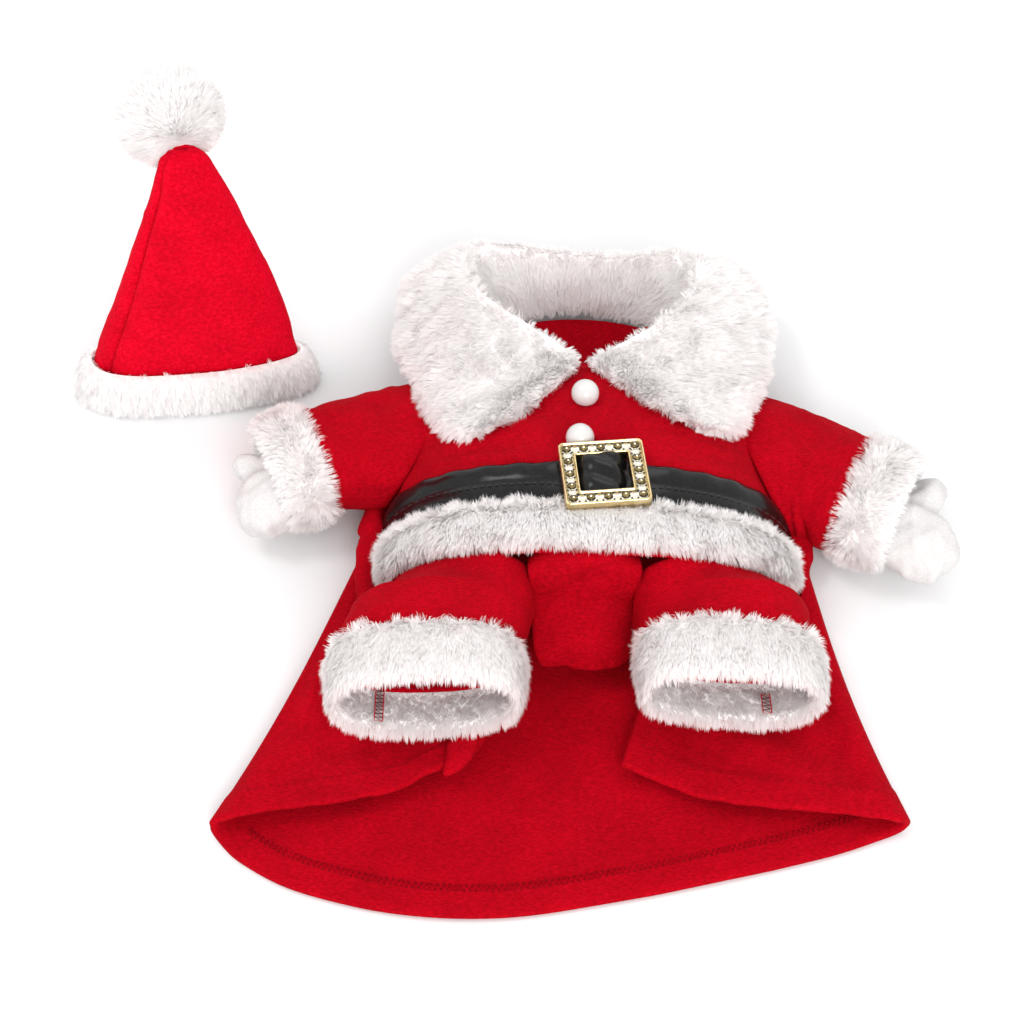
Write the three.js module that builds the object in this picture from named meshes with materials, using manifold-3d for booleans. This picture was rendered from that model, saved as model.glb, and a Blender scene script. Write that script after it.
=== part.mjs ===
// Pet santa costume: a coat with stuffed arms, short legs and an open skirt, laid on its back,
// and a hat that stands on its plush brim beside it. Millimetres, +Z up, -Y towards the hem.
import * as THREE from 'three';
import { mergeVertices } from 'three/addons/utils/BufferGeometryUtils.js';
import Module from 'manifold-3d';

const wasm = await Module();
wasm.setup();

// Driving sizes
const CLOTH = 2.2;                // thickness of the fleece
const SEAM = 0.3;                 // gap between two sewn pieces
const CHEST = { halfWidth: 77, height: 56, square: 2.15, across: 24, along: 10 };
const NECK = { x: -2, y: 91, z: 30, radius: 39.5, slope: 31 };
const SHOULDER_Y = 44;            // the chest is straight up to here, then narrows to the neck
const BACK_WAIST_Y = -9;          // the back panel is sewn to the skirt here
const BELT = { width: 17.5, thick: 1.6, middleY: -8.2, bow: 8.8, slope: -2.5, end: 0.06 };
const TRIM = { width: 18, thick: 7.5, below: 18.2, from: 0.09, to: 0.945 };
const HEM_BELOW_BELT = 27.9;       // the front's lower edge, hidden by the trim
const BUCKLE = { x: 4.6, y: -8, width: 30.5, height: 29, bar: 6, thick: 4.2, turn: 5, lift: 1.9 };
const BUCKLE_PIN = { width: 3, thick: 1.4, hump: 3.3, reach: 10 };
const BUTTON_RADIUS = 5.2;
const BUTTONS = { upper: { x: -0.8, y: 35.7 }, lower: { x: -3.4, y: 11.5 } };
const BUTTON_RISE = 2.4;          // how far the middle of a button stands above the cloth
const PLUSH = { cuff: 6.5, legCuff: 8.5, brim: 6.5 };
const HAT = { turn: 2, cone: 124, brimHeight: 20, seam: 214, square: 2.4, pinch: 1.7, egg: 0.45 };
const POMPOM = { x: -152, y: 104, z: 127, radius: 17.5, core: 9.5, locks: 64, lockWidth: 3.8 };

const COLOURS = {
  fleece: { color: 0xb80414, roughness: 0.95, metalness: 0 },
  hatFleece: { color: 0xd8041c, roughness: 0.95, metalness: 0 },
  plush: { color: 0xf3efed, roughness: 0.95, metalness: 0 },
  mitten: { color: 0xf4f2f0, roughness: 0.9, metalness: 0 },
  belt: { color: 0x141416, roughness: 0.3, metalness: 0 },
  gold: { color: 0xd8be7a, roughness: 0.25, metalness: 1 },
  button: { color: 0xf2f0ee, roughness: 0.3, metalness: 0 },
};

// Small maths
const point = (x, y, z) => new THREE.Vector3(x, y, z);
const mix = (a, b, t) => a + (b - a) * t;
const rad = (degrees) => degrees * Math.PI / 180;
const steps = (count) => Array.from({ length: count + 1 }, (_, i) => i / count);
const ease = (t) => t * t * (3 - 2 * t);
const power = (value, p) => Math.sign(value) * Math.abs(value) ** p;

// A named column of a table as a smooth curve of the share 0 to 1 along its rows
function column(rows, name, share) {
  const last = rows.length - 1;
  const place = Math.min(Math.max(share, 0), 1) * last;
  const i = Math.min(Math.floor(place), last - 1);
  const t = place - i;
  const value = (k) => rows[Math.min(Math.max(k, 0), last)][name];
  const [a, b, c, d] = [value(i - 1), value(i), value(i + 1), value(i + 2)];
  return 0.5 * (2 * b + (c - a) * t + (2 * a - 5 * b + 4 * c - d) * t * t + (3 * b - a - 3 * c + d) * t ** 3);
}
const pointAt = (rows, share) => point(column(rows, 'x', share), column(rows, 'y', share), column(rows, 'z', share));

// Closed geometry from points and four-cornered faces, turned so that its faces point out
function closedGeometry(points, faces) {
  const index = [];
  for (const face of faces) {
    for (let k = 2; k < face.length; k += 1) index.push(face[0], face[k - 1], face[k]);
  }
  let volume = 0;
  for (let k = 0; k < index.length; k += 3) {
    const [a, b, c] = [points[index[k]], points[index[k + 1]], points[index[k + 2]]];
    volume += a.dot(point(0, 0, 0).crossVectors(b, c));
  }
  if (volume < 0) index.reverse();
  const geometry = new THREE.BufferGeometry();
  geometry.setAttribute('position', new THREE.Float32BufferAttribute(points.flatMap((p) => [p.x, p.y, p.z]), 3));
  geometry.setIndex(index);
  return geometry;
}

// A wall between two grids of points. Each row closes on itself where ring is true.
function wall(outer, inner, ring = false) {
  const rows = outer.length;
  const columns = outer[0].length;
  const last = ring ? columns : columns - 1;
  const at = (side, i, j) => (side * rows + i) * columns + (j % columns);
  const faces = [];
  for (let i = 0; i < rows - 1; i += 1) {
    for (let j = 0; j < last; j += 1) {
      faces.push([at(0, i, j), at(0, i, j + 1), at(0, i + 1, j + 1), at(0, i + 1, j)]);
      faces.push([at(1, i, j), at(1, i + 1, j), at(1, i + 1, j + 1), at(1, i, j + 1)]);
    }
  }
  for (let j = 0; j < last; j += 1) {
    faces.push([at(0, 0, j + 1), at(0, 0, j), at(1, 0, j), at(1, 0, j + 1)]);
    faces.push([at(0, rows - 1, j), at(0, rows - 1, j + 1), at(1, rows - 1, j + 1), at(1, rows - 1, j)]);
  }
  for (let i = 0; i < rows - 1 && !ring; i += 1) {
    faces.push([at(0, i, 0), at(0, i + 1, 0), at(1, i + 1, 0), at(1, i, 0)]);
    faces.push([at(0, i + 1, last), at(0, i, last), at(1, i, last), at(1, i + 1, last)]);
  }
  return closedGeometry([...outer.flat(), ...inner.flat()], faces);
}

// A solid through a row of closed sections. It closes on itself, or has a flat cap at each end.
function loft(sections, loop = false) {
  const count = sections[0].length;
  const points = sections.flat();
  const last = loop ? sections.length : sections.length - 1;
  const at = (i, j) => (i % sections.length) * count + (j % count);
  const faces = [];
  for (let i = 0; i < last; i += 1) {
    for (let j = 0; j < count; j += 1) faces.push([at(i, j), at(i, j + 1), at(i + 1, j + 1), at(i + 1, j)]);
  }
  if (!loop) {
    for (const [i, forward] of [[0, false], [last, true]]) {
      const middle = points.length;
      points.push(sections[i].reduce((sum, p) => sum.add(p), point(0, 0, 0)).divideScalar(count));
      for (let j = 0; j < count; j += 1) {
        faces.push(forward ? [at(i, j), at(i, j + 1), middle] : [at(i, j + 1), at(i, j), middle]);
      }
    }
  }
  return closedGeometry(points, faces);
}

// The same grid moved along its own normals
function moved(grid, distance, ring = false) {
  const rows = grid.length;
  const columns = grid[0].length;
  const clamp = (k, count) => Math.min(Math.max(k, 0), count - 1);
  return grid.map((row, i) => row.map((p, j) => {
    const left = ring ? row[(j + columns - 1) % columns] : row[clamp(j - 1, columns)];
    const right = ring ? row[(j + 1) % columns] : row[clamp(j + 1, columns)];
    const across = right.clone().sub(left);
    const along = grid[clamp(i + 1, rows)][j].clone().sub(grid[clamp(i - 1, rows)][j]);
    return across.cross(along).normalize().multiplyScalar(distance).add(p);
  }));
}

// Solids for cutting and joining
function bare(geometry) {
  geometry.deleteAttribute('normal');
  geometry.deleteAttribute('uv');
  return geometry;
}
function solid(geometry) {
  const merged = mergeVertices(geometry.clone(), 1e-4);
  const vertProperties = new Float32Array(merged.attributes.position.array);
  return new wasm.Manifold(new wasm.Mesh({ numProp: 3, vertProperties, triVerts: new Uint32Array(merged.index.array) }));
}
function largest(body) {
  return body.decompose().sort((a, b) => b.volume() - a.volume())[0];
}
function geometryOf(body) {
  const mesh = body.getMesh();
  const geometry = new THREE.BufferGeometry();
  geometry.setAttribute('position', new THREE.Float32BufferAttribute(mesh.vertProperties, 3));
  geometry.setIndex(Array.from(mesh.triVerts));
  return geometry;
}
const cut = (geometry, ...tools) => geometryOf(largest(tools.reduce((body, tool) => body.subtract(tool), solid(geometry))));

const costume = new THREE.Group();
function add(name, geometry, look) {
  const mesh = new THREE.Mesh(geometry, new THREE.MeshStandardMaterial(COLOURS[look]));
  mesh.name = name;
  costume.add(mesh);
  return mesh;
}

// Chest
// The dome of the filled-out chest: turn runs from 0 at its right side to 1 at its left
function dome(turn, y, lift = 0) {
  const angle = turn * Math.PI;
  const floor = CLOTH + SEAM;
  const height = CHEST.height - 3.5 * ((y - 4) / 40) ** 2 + lift;
  const x = (CHEST.halfWidth + lift) * power(Math.cos(angle), 2 / CHEST.square);
  return point(x, y, floor + (height - floor) * power(Math.sin(angle), 2 / CHEST.square));
}
function neckRing(degrees, spare = 0) {
  const angle = rad(degrees);
  const up = (NECK.radius + spare) * Math.sin(angle);
  const x = NECK.x + (NECK.radius + spare) * Math.cos(angle);
  return point(x, NECK.y - up * Math.cos(rad(NECK.slope)), NECK.z + up * Math.sin(rad(NECK.slope)));
}
// The height of the chest's surface over a point of the floor
function domeHeight(x, y, lift = 0) {
  const share = Math.min(Math.abs(x) / (CHEST.halfWidth + lift), 1);
  return dome(Math.acos(power(share, CHEST.square / 2)) / Math.PI, y, lift).z;
}
// The belt bows down over the belly, and the trim, the front's edge and the legs follow it
const beltY = (x) => BELT.middleY + BELT.bow * (x / CHEST.halfWidth) ** 2 + BELT.slope * (x / CHEST.halfWidth);
const frontEdgeY = (x) => beltY(x) - HEM_BELOW_BELT;
const NECK_SIDE = -38;            // where the shoulder seam meets the neck, in degrees round the neck

function chestPoint(turn, share, lift = 0) {
  const straight = 0.62;
  const low = dome(turn, SHOULDER_Y, lift);
  if (share <= straight) {
    const side = dome(turn, 0, lift);
    return dome(turn, mix(frontEdgeY(side.x), SHOULDER_Y, share / straight), lift);
  }
  const t = (share - straight) / (1 - straight);
  return low.lerp(neckRing(mix(NECK_SIDE, 180 - NECK_SIDE, turn), lift), t);
}
const chestGrid = (lift, across, along) => steps(along).map((v) => steps(across).map((u) => chestPoint(u, v, lift)));

const chestOuter = chestGrid(0, CHEST.across, CHEST.along);
const frontWall = wall(chestOuter, moved(chestOuter, CLOTH));

// Everything inside the chest and a seam's width round it, for cutting the neighbours
const chestBlock = solid(loft(chestGrid(SEAM, CHEST.across, CHEST.along)));

// Sleeves, their plush cuffs and the stuffed mittens
// turn is the way the arm points, from +X, seen from above
const SLEEVES = {
  left: [
    { x: -50, y: 42, z: 20.5, wide: 30, high: 16.5, turn: 180 },
    { x: -66, y: 42, z: 20.5, wide: 29, high: 16.5, turn: 182 },
    { x: -80, y: 40, z: 20.5, wide: 27.5, high: 16.5, turn: 188 },
    { x: -92, y: 37, z: 20.5, wide: 25.5, high: 16.5, turn: 196 },
    { x: -103, y: 33.5, z: 20.5, wide: 24, high: 16.5, turn: 202 },
  ],
  right: [
    { x: 50, y: 38, z: 20.5, wide: 30, high: 16.5, turn: 0 },
    { x: 66, y: 35, z: 20.5, wide: 29, high: 16.5, turn: -8 },
    { x: 80, y: 28.5, z: 20.5, wide: 28, high: 16.5, turn: -17 },
    { x: 91, y: 22, z: 20.5, wide: 27, high: 16.5, turn: -23 },
    { x: 101, y: 16.5, z: 20.5, wide: 26, high: 16.5, turn: -26 },
  ],
};
const SLEEVE_SQUARE = 2.3;
const ARM_SIDES = 18;
const ARM_STEPS = 5;
function armRing(rows, share, spare, count) {
  const turn = rad(column(rows, 'turn', share));
  const centre = pointAt(rows, share);
  const wide = column(rows, 'wide', share) + spare;
  const high = column(rows, 'high', share) + spare;
  return steps(count).slice(0, count).map((t) => {
    const angle = t * 2 * Math.PI;
    const side = wide * power(Math.cos(angle), 2 / SLEEVE_SQUARE);
    const up = high * power(Math.sin(angle), 2 / SLEEVE_SQUARE);
    return point(centre.x - side * Math.sin(turn), centre.y + side * Math.cos(turn), centre.z + up);
  });
}
// A plush band round the end of a limb: ring(way, spare) gives the points of one section of it
function plushBand(ring, thick, shares, spare = 0) {
  const outline = [
    { way: 0.0, out: 0.25 }, { way: 0.12, out: 0.8 }, { way: 0.5, out: 1 }, { way: 0.88, out: 0.85 },
    { way: 1.0, out: 0.4 }, { way: 0.9, out: 0.0 }, { way: 0.5, out: -0.12 }, { way: 0.08, out: 0.0 },
  ];
  const around = outline.map((corner) => {
    const way = mix(shares[0], shares[1], corner.way) + Math.sign(corner.way - 0.5) * spare * 0.02;
    const out = corner.out > 0.2 ? corner.out * thick + spare : corner.out * thick - spare;
    return ring(way, out);
  });
  const sections = around[0].map((_, k) => around.map((row) => row[k]));
  return loft(sections, true);
}
const MITTENS = {
  left: {
    palm: [
      { x: -106, y: 30, z: 20.5, wide: 12, high: 9 }, { x: -116, y: 21, z: 18.5, wide: 15, high: 10.5 },
      { x: -122, y: 11, z: 16.5, wide: 13.5, high: 10 }, { x: -125, y: 3, z: 14.5, wide: 8, high: 6.5 },
    ],
    thumb: [
      { x: -114, y: 30, z: 18, wide: 7, high: 6.5 }, { x: -124, y: 30.5, z: 18.5, wide: 7.2, high: 6.8 },
      { x: -131, y: 31, z: 18.5, wide: 6.6, high: 6.2 }, { x: -135.5, y: 31.5, z: 18, wide: 3, high: 3 },
    ],
  },
  right: {
    palm: [
      { x: 106, y: 12, z: 20.5, wide: 13, high: 9 }, { x: 118, y: 1, z: 18, wide: 16, high: 10.5 },
      { x: 127, y: -8, z: 16, wide: 15, high: 10 }, { x: 133, y: -15.5, z: 14.5, wide: 8.5, high: 6.5 },
    ],
    thumb: [
      { x: 115, y: 11, z: 18, wide: 7.5, high: 6.8 }, { x: 126, y: 15, z: 18.5, wide: 7.6, high: 6.8 },
      { x: 134, y: 18, z: 18.5, wide: 6.8, high: 6.2 }, { x: 139, y: 19.5, z: 18, wide: 3.2, high: 3 },
    ],
  },
};
// A stuffed finger of cloth along a row of centres
function stuffed(rows, rings, sides) {
  const sections = steps(rings).map((share) => {
    const centre = pointAt(rows, share);
    const ahead = pointAt(rows, Math.min(share + 0.02, 1)).sub(pointAt(rows, Math.max(share - 0.02, 0))).normalize();
    const across = point(-ahead.y, ahead.x, 0).normalize();
    const up = ahead.clone().cross(across).negate();
    return steps(sides).slice(0, sides).map((t) => {
      const side = column(rows, 'wide', share) * Math.cos(t * 2 * Math.PI);
      const rise = column(rows, 'high', share) * Math.sin(t * 2 * Math.PI);
      return centre.clone().addScaledVector(across, side).addScaledVector(up, rise);
    });
  });
  return loft(sections);
}

const armCuts = [];
const sleeveBlocks = [];
for (const [side, rows] of Object.entries(SLEEVES)) {
  const rings = (spare, count, along) => steps(along).map((share) => armRing(rows, share, spare, count));
  const tube = wall(rings(0, ARM_SIDES, ARM_STEPS), rings(-CLOTH, ARM_SIDES, ARM_STEPS), true);
  add(`sleeve_${side}`, cut(tube, chestBlock), 'fleece');
  armCuts.push(solid(loft(rings(-CLOTH, ARM_SIDES, ARM_STEPS))));
  sleeveBlocks.push(solid(loft(rings(SEAM, ARM_SIDES, ARM_STEPS))));

  const end = rows[rows.length - 1];
  const reach = (way, out, count) => {
    const beyond = { ...end, x: end.x + way * Math.cos(rad(end.turn)), y: end.y + way * Math.sin(rad(end.turn)) };
    return armRing([end, beyond], 1, out, count);
  };
  const cuffRing = (spare) => (way, out) => reach(way, out - 4 + (out > 0 ? spare : 0), 20);
  add(`cuff_${side}`, plushBand(cuffRing(0), PLUSH.cuff, [SEAM, 18]), 'plush');
  const cuffBlock = solid(loft([reach(-1, PLUSH.cuff, 20), reach(9, PLUSH.cuff, 20), reach(18 + SEAM, PLUSH.cuff, 20)]));
  const hollow = solid(loft([reach(2, -5.6, 20), reach(10, -5.6, 20), reach(22, -5.6, 20)]));
  const hand = solid(stuffed(MITTENS[side].palm, 6, 12)).add(solid(stuffed(MITTENS[side].thumb, 5, 10)));
  add(`mitten_${side}`, geometryOf(largest(hand.subtract(cuffBlock.subtract(hollow)))), 'mitten');
}
add('bodice_front', cut(frontWall, ...armCuts), 'fleece');

// Back panel: flat on the floor from the waist to the shoulders, then rising to the neck seam
function backPoint(turn, share) {
  const straight = 0.5;
  const side = -power(Math.cos(turn * Math.PI), 1) * (CHEST.halfWidth + 0.6);
  if (share <= straight) return point(side, mix(BACK_WAIST_Y, SHOULDER_Y, share / straight), 0);
  const t = (share - straight) / (1 - straight);
  const neck = neckRing(mix(180 - NECK_SIDE + 2, 360 + NECK_SIDE - 2, turn));
  const middle = Math.sin(turn * Math.PI) ** 0.7;
  const seamRise = mix(0, neck.z - CLOTH - SEAM, t);
  const flatRise = (neck.z - CLOTH - SEAM) * t ** 4;
  return point(mix(side, neck.x, t), mix(SHOULDER_Y, neck.y, t), mix(seamRise, flatRise, middle));
}
const backUnder = steps(8).map((v) => steps(10).map((u) => backPoint(u, v)));
add('bodice_back', wall(backUnder, backUnder.map((row) => row.map((p) => p.clone().setZ(p.z + CLOTH)))), 'fleece');

// Skirt: one cloth from the left front edge, round under the back, to the right front edge
const SKIRT = [
  { x: -31, y: -39.5, z: 8.4, hemX: -46, hemY: -95, hemZ: 11.5 },
  { x: -40, y: -39.5, z: 8.4, hemX: -56, hemY: -99, hemZ: 9.2 },
  { x: -50, y: -39.5, z: 8.4, hemX: -69, hemY: -106, hemZ: 8.6 },
  { x: -62, y: -39.5, z: 8.4, hemX: -85, hemY: -110, hemZ: 9.4 },
  { x: -75, y: -38, z: 8.4, hemX: -104, hemY: -112.5, hemZ: 10.6 },
  { x: -83.5, y: -26, z: 9.5, hemX: -119, hemY: -116, hemZ: 10.2 },
  { x: -84, y: -8, z: 10.5, hemX: -127.5, hemY: -116.5, hemZ: 7 },
  { x: -81, y: 5, z: 8.5, hemX: -128.6, hemY: -117.5, hemZ: 4.4 },
  { x: -82, y: 4, z: 3.4, hemX: -127, hemY: -120, hemZ: 1.6 },
  { x: -80, y: -11, z: 1.1, hemX: -118, hemY: -128.5, hemZ: 1.1 },
  { x: -60, y: -10.5, z: 1.1, hemX: -98, hemY: -139, hemZ: 1.1 },
  { x: -36, y: -10.5, z: 1.1, hemX: -65, hemY: -147, hemZ: 1.1 },
  { x: -12, y: -10.5, z: 1.1, hemX: -32, hemY: -148.4, hemZ: 1.1 },
  { x: 12, y: -10.5, z: 1.1, hemX: 4, hemY: -143, hemZ: 1.1 },
  { x: 36, y: -10.5, z: 1.1, hemX: 42, hemY: -135, hemZ: 1.1 },
  { x: 60, y: -10.5, z: 1.1, hemX: 78, hemY: -126, hemZ: 1.1 },
  { x: 80, y: -11, z: 1.1, hemX: 98, hemY: -119, hemZ: 1.1 },
  { x: 81.5, y: -3, z: 3.4, hemX: 104.5, hemY: -116.5, hemZ: 3 },
  { x: 81, y: -2.5, z: 8.5, hemX: 104.5, hemY: -116, hemZ: 6.5 },
  { x: 80, y: -14, z: 10.5, hemX: 101, hemY: -117.5, hemZ: 9.8 },
  { x: 77.5, y: -29, z: 9.5, hemX: 91, hemY: -116, hemZ: 10.6 },
  { x: 69, y: -38, z: 8.4, hemX: 78, hemY: -114, hemZ: 10 },
  { x: 59, y: -39.5, z: 8.4, hemX: 58, hemY: -112, hemZ: 9.2 },
  { x: 49, y: -39.5, z: 8.4, hemX: 38, hemY: -108.5, hemZ: 8.8 },
  { x: 39, y: -39.5, z: 8.4, hemX: 23, hemY: -102, hemZ: 8.6 },
  { x: 28, y: -39.5, z: 8.4, hemX: 10, hemY: -95.3, hemZ: 8.6 },
];
const SKIRT_HALF_WIDTH = 105;
const SKIRT_BEND = { left: 2.5, right: 4 };   // how far the side folds bend in between waist and hem
function skirtPoint(turn, share) {
  const waist = pointAt(SKIRT, turn);
  const hem = point(column(SKIRT, 'hemX', turn), column(SKIRT, 'hemY', turn), column(SKIRT, 'hemZ', turn));
  const p = waist.lerp(hem, share);
  const reach = p.x / SKIRT_HALF_WIDTH;
  const bend = reach < 0 ? SKIRT_BEND.left : SKIRT_BEND.right;
  p.x -= Math.sign(reach) * bend * reach * reach * Math.sin(share * Math.PI);
  p.z = Math.max(p.z, CLOTH / 2);
  return p;
}
const skirtMiddle = steps(7).map((v) => steps(46).map((u) => skirtPoint(u, v)));
const onFloor = (grid) => grid.map((row) => row.map((p) => p.setZ(Math.max(p.z, 0))));
add('skirt', wall(onFloor(moved(skirtMiddle, CLOTH / 2)), onFloor(moved(skirtMiddle, -CLOTH / 2))), 'fleece');

// Legs: short tubes from under the trim to their plush cuffs
const LEGS = {
  left: [
    { y: 0, inner: -20, outer: -70, low: 11.9, top: 50, roll: 0 },
    { y: -46, inner: -20, outer: -82, low: 11.9, top: 51, roll: 0 },
    { y: -56, inner: -22, outer: -86.5, low: 13, top: 52, roll: 1 },
    { y: -65, inner: -25.5, outer: -89, low: 17, top: 52, roll: 3 },
  ],
  right: [
    { y: 0, inner: 15, outer: 69, low: 11.9, top: 50, roll: 0 },
    { y: -46, inner: 14.5, outer: 75, low: 11.9, top: 50, roll: 0 },
    { y: -56, inner: 14, outer: 76, low: 13, top: 49.5, roll: -1 },
    { y: -62, inner: 16, outer: 76.5, low: 18.5, top: 49.5, roll: -6 },
  ],
};
const LEG_SQUARE = 2.5;
function legRing(row, spare, count, y) {
  const middle = (row.inner + row.outer) / 2;
  const wide = Math.abs(row.outer - row.inner) / 2 + spare;
  const high = (row.top - row.low) / 2 + spare;
  const roll = rad(row.roll);
  return steps(count).slice(0, count).map((t) => {
    const side = wide * power(Math.cos(t * 2 * Math.PI), 2 / LEG_SQUARE);
    const up = high * power(Math.sin(t * 2 * Math.PI), 2 / LEG_SQUARE);
    const x = middle + side * Math.cos(roll) - up * Math.sin(roll);
    return point(x, y(x), (row.top + row.low) / 2 + side * Math.sin(roll) + up * Math.cos(roll));
  });
}
const LEG_CUFF_LENGTH = 24;
const LEG_CUFF_LAP = 4;           // how much of the cuff's plush lies inside the leg's outline
const LEG_SIDES = 22;
for (const [side, rows] of Object.entries(LEGS)) {
  const end = rows[rows.length - 1];
  const ring = (share, spare) => {
    const row = { y: 0, inner: 0, outer: 0, low: 0, top: 0, roll: 0 };
    for (const name of Object.keys(row)) row[name] = column(rows, name, share);
    const start = (x) => frontEdgeY(x) - SEAM;
    const reach = column(rows.slice(1), 'y', Math.max((share - 1 / 3) * 1.5, 0));
    const away = Math.min(share * 3, 1);
    const outline = legRing(row, spare, LEG_SIDES, (x) => mix(start(x), reach, away));
    return outline.map((p) => p.setZ(mix(Math.min(p.z, domeHeight(p.x, p.y, spare)), p.z, away)));
  };
  const rings = (spare) => steps(5).map((share) => ring(share, spare));
  add(`leg_${side}`, wall(rings(0), rings(-CLOTH), true), 'fleece');
  const cuffRing = (way, out) => legRing(end, out - LEG_CUFF_LAP, LEG_SIDES, () => end.y - SEAM - way);
  add(`leg_cuff_${side}`, plushBand(cuffRing, PLUSH.legCuff, [0, LEG_CUFF_LENGTH]), 'plush');
}

// Belly panel between the legs, with a free curved hem
const BELLY = [
  { y: -38, z: 49.4, half: 15.5 }, { y: -39, z: 41, half: 16 }, { y: -41, z: 31, half: 16.5 },
  { y: -48, z: 25.5, half: 16.8 }, { y: -55, z: 20, half: 16.4 }, { y: -57.5, z: 13, half: 14 },
];
const BELLY_X = -2.6;
const bellyGrid = steps(8).map((share) => steps(8).map((t) => {
  const across = mix(-1, 1, t);
  const sag = 3.5 * across * across * share;
  return point(BELLY_X + across * column(BELLY, 'half', share), column(BELLY, 'y', share) + sag, column(BELLY, 'z', share));
}));
add('belly', wall(bellyGrid, moved(bellyGrid, CLOTH)), 'fleece');

// Belt, buckle and the plush trim under the belt
const outward = (turn) => point(Math.cos(turn * Math.PI), 0, Math.sin(turn * Math.PI)).normalize();
function beltRow(turn, lift) {
  const foot = dome(turn, 0);
  const near = Math.abs(foot.x - BUCKLE.x) / BUCKLE_PIN.reach;
  const hump = near < 1 ? (BUCKLE_PIN.hump + BUCKLE.lift) * ease(1 - near) : 0;
  const half = BELT.width / 2 - (near < 2 ? 0.9 * ease(1 - near / 2) : 0);
  return steps(2).map((t) => dome(turn, beltY(foot.x) + mix(-half, half, t)).addScaledVector(outward(turn), lift + hump));
}
const beltTurns = steps(48).map((t) => mix(BELT.end, 1 - BELT.end, t));
const beltGrid = (lift) => beltTurns.map((turn) => beltRow(turn, lift));
add('belt', cut(wall(beltGrid(SEAM + BELT.thick), beltGrid(SEAM)), ...sleeveBlocks), 'belt');

const trimSections = steps(28).map((t) => {
  const turn = mix(TRIM.from, TRIM.to, t);
  const foot = dome(turn, 0);
  const taper = Math.min(1, Math.sin(t * Math.PI) * 4) ** 0.6;
  const middle = beltY(foot.x) - TRIM.below;
  const thick = TRIM.thick * mix(0.3, 1, taper);
  const half = TRIM.width / 2 * mix(0.55, 1, taper);
  const section = [
    { way: -1, out: 0.35 }, { way: -0.8, out: 0.85 }, { way: 0, out: 1 }, { way: 0.8, out: 0.8 },
    { way: 1, out: 0.3 }, { way: 0.9, out: 0 }, { way: 0, out: 0 }, { way: -0.9, out: 0 },
  ];
  return section.map(({ way, out }) => dome(turn, middle + way * half).addScaledVector(outward(turn), SEAM + 0.1 + out * thick));
});
const buckleZ = CHEST.height + SEAM + BUCKLE.lift;
const pressed = new THREE.BoxGeometry(BUCKLE.width + 1, BUCKLE.height + 1, 12).rotateZ(rad(BUCKLE.turn));
pressed.translate(BUCKLE.x, BUCKLE.y, buckleZ - SEAM + 6);
add('hem_trim', cut(loft(trimSections), solid(bare(pressed))), 'plush');

function frameShape(width, height, radius) {
  const shape = new THREE.Shape();
  shape.moveTo(-width / 2 + radius, -height / 2);
  shape.lineTo(width / 2 - radius, -height / 2).absarc(width / 2 - radius, -height / 2 + radius, radius, rad(-90), 0);
  shape.lineTo(width / 2, height / 2 - radius).absarc(width / 2 - radius, height / 2 - radius, radius, 0, rad(90));
  shape.lineTo(-width / 2 + radius, height / 2).absarc(-width / 2 + radius, height / 2 - radius, radius, rad(90), rad(180));
  shape.lineTo(-width / 2, -height / 2 + radius).absarc(-width / 2 + radius, -height / 2 + radius, radius, rad(180), rad(270));
  return shape;
}
const frameOutline = frameShape(BUCKLE.width, BUCKLE.height, 1.6);
frameOutline.holes.push(frameShape(BUCKLE.width - 2 * BUCKLE.bar, BUCKLE.height - 2 * BUCKLE.bar + 1.6, 0.8));
const frameGeometry = new THREE.ExtrudeGeometry(frameOutline, { depth: BUCKLE.thick, bevelEnabled: false, curveSegments: 3 });
const pinLength = BUCKLE.height - BUCKLE.bar;
const pinGeometry = new THREE.BoxGeometry(BUCKLE_PIN.width, pinLength, BUCKLE_PIN.thick);
pinGeometry.translate(0, 0, BUCKLE_PIN.thick / 2);
const buckle = add('buckle', geometryOf(solid(bare(frameGeometry)).add(solid(bare(pinGeometry)))), 'gold');
buckle.position.set(BUCKLE.x, BUCKLE.y, buckleZ);
buckle.rotation.z = rad(BUCKLE.turn);

// Buttons
for (const [name, place] of Object.entries(BUTTONS)) {
  const ball = new THREE.SphereGeometry(BUTTON_RADIUS, 16, 10);
  const turn = Math.acos(place.x / CHEST.halfWidth) / Math.PI;
  const middle = dome(turn, place.y).add(point(0, 0, BUTTON_RISE));
  ball.translate(middle.x, middle.y, middle.z);
  add(`button_${name}`, cut(bare(ball), chestBlock), 'button');
}

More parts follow.
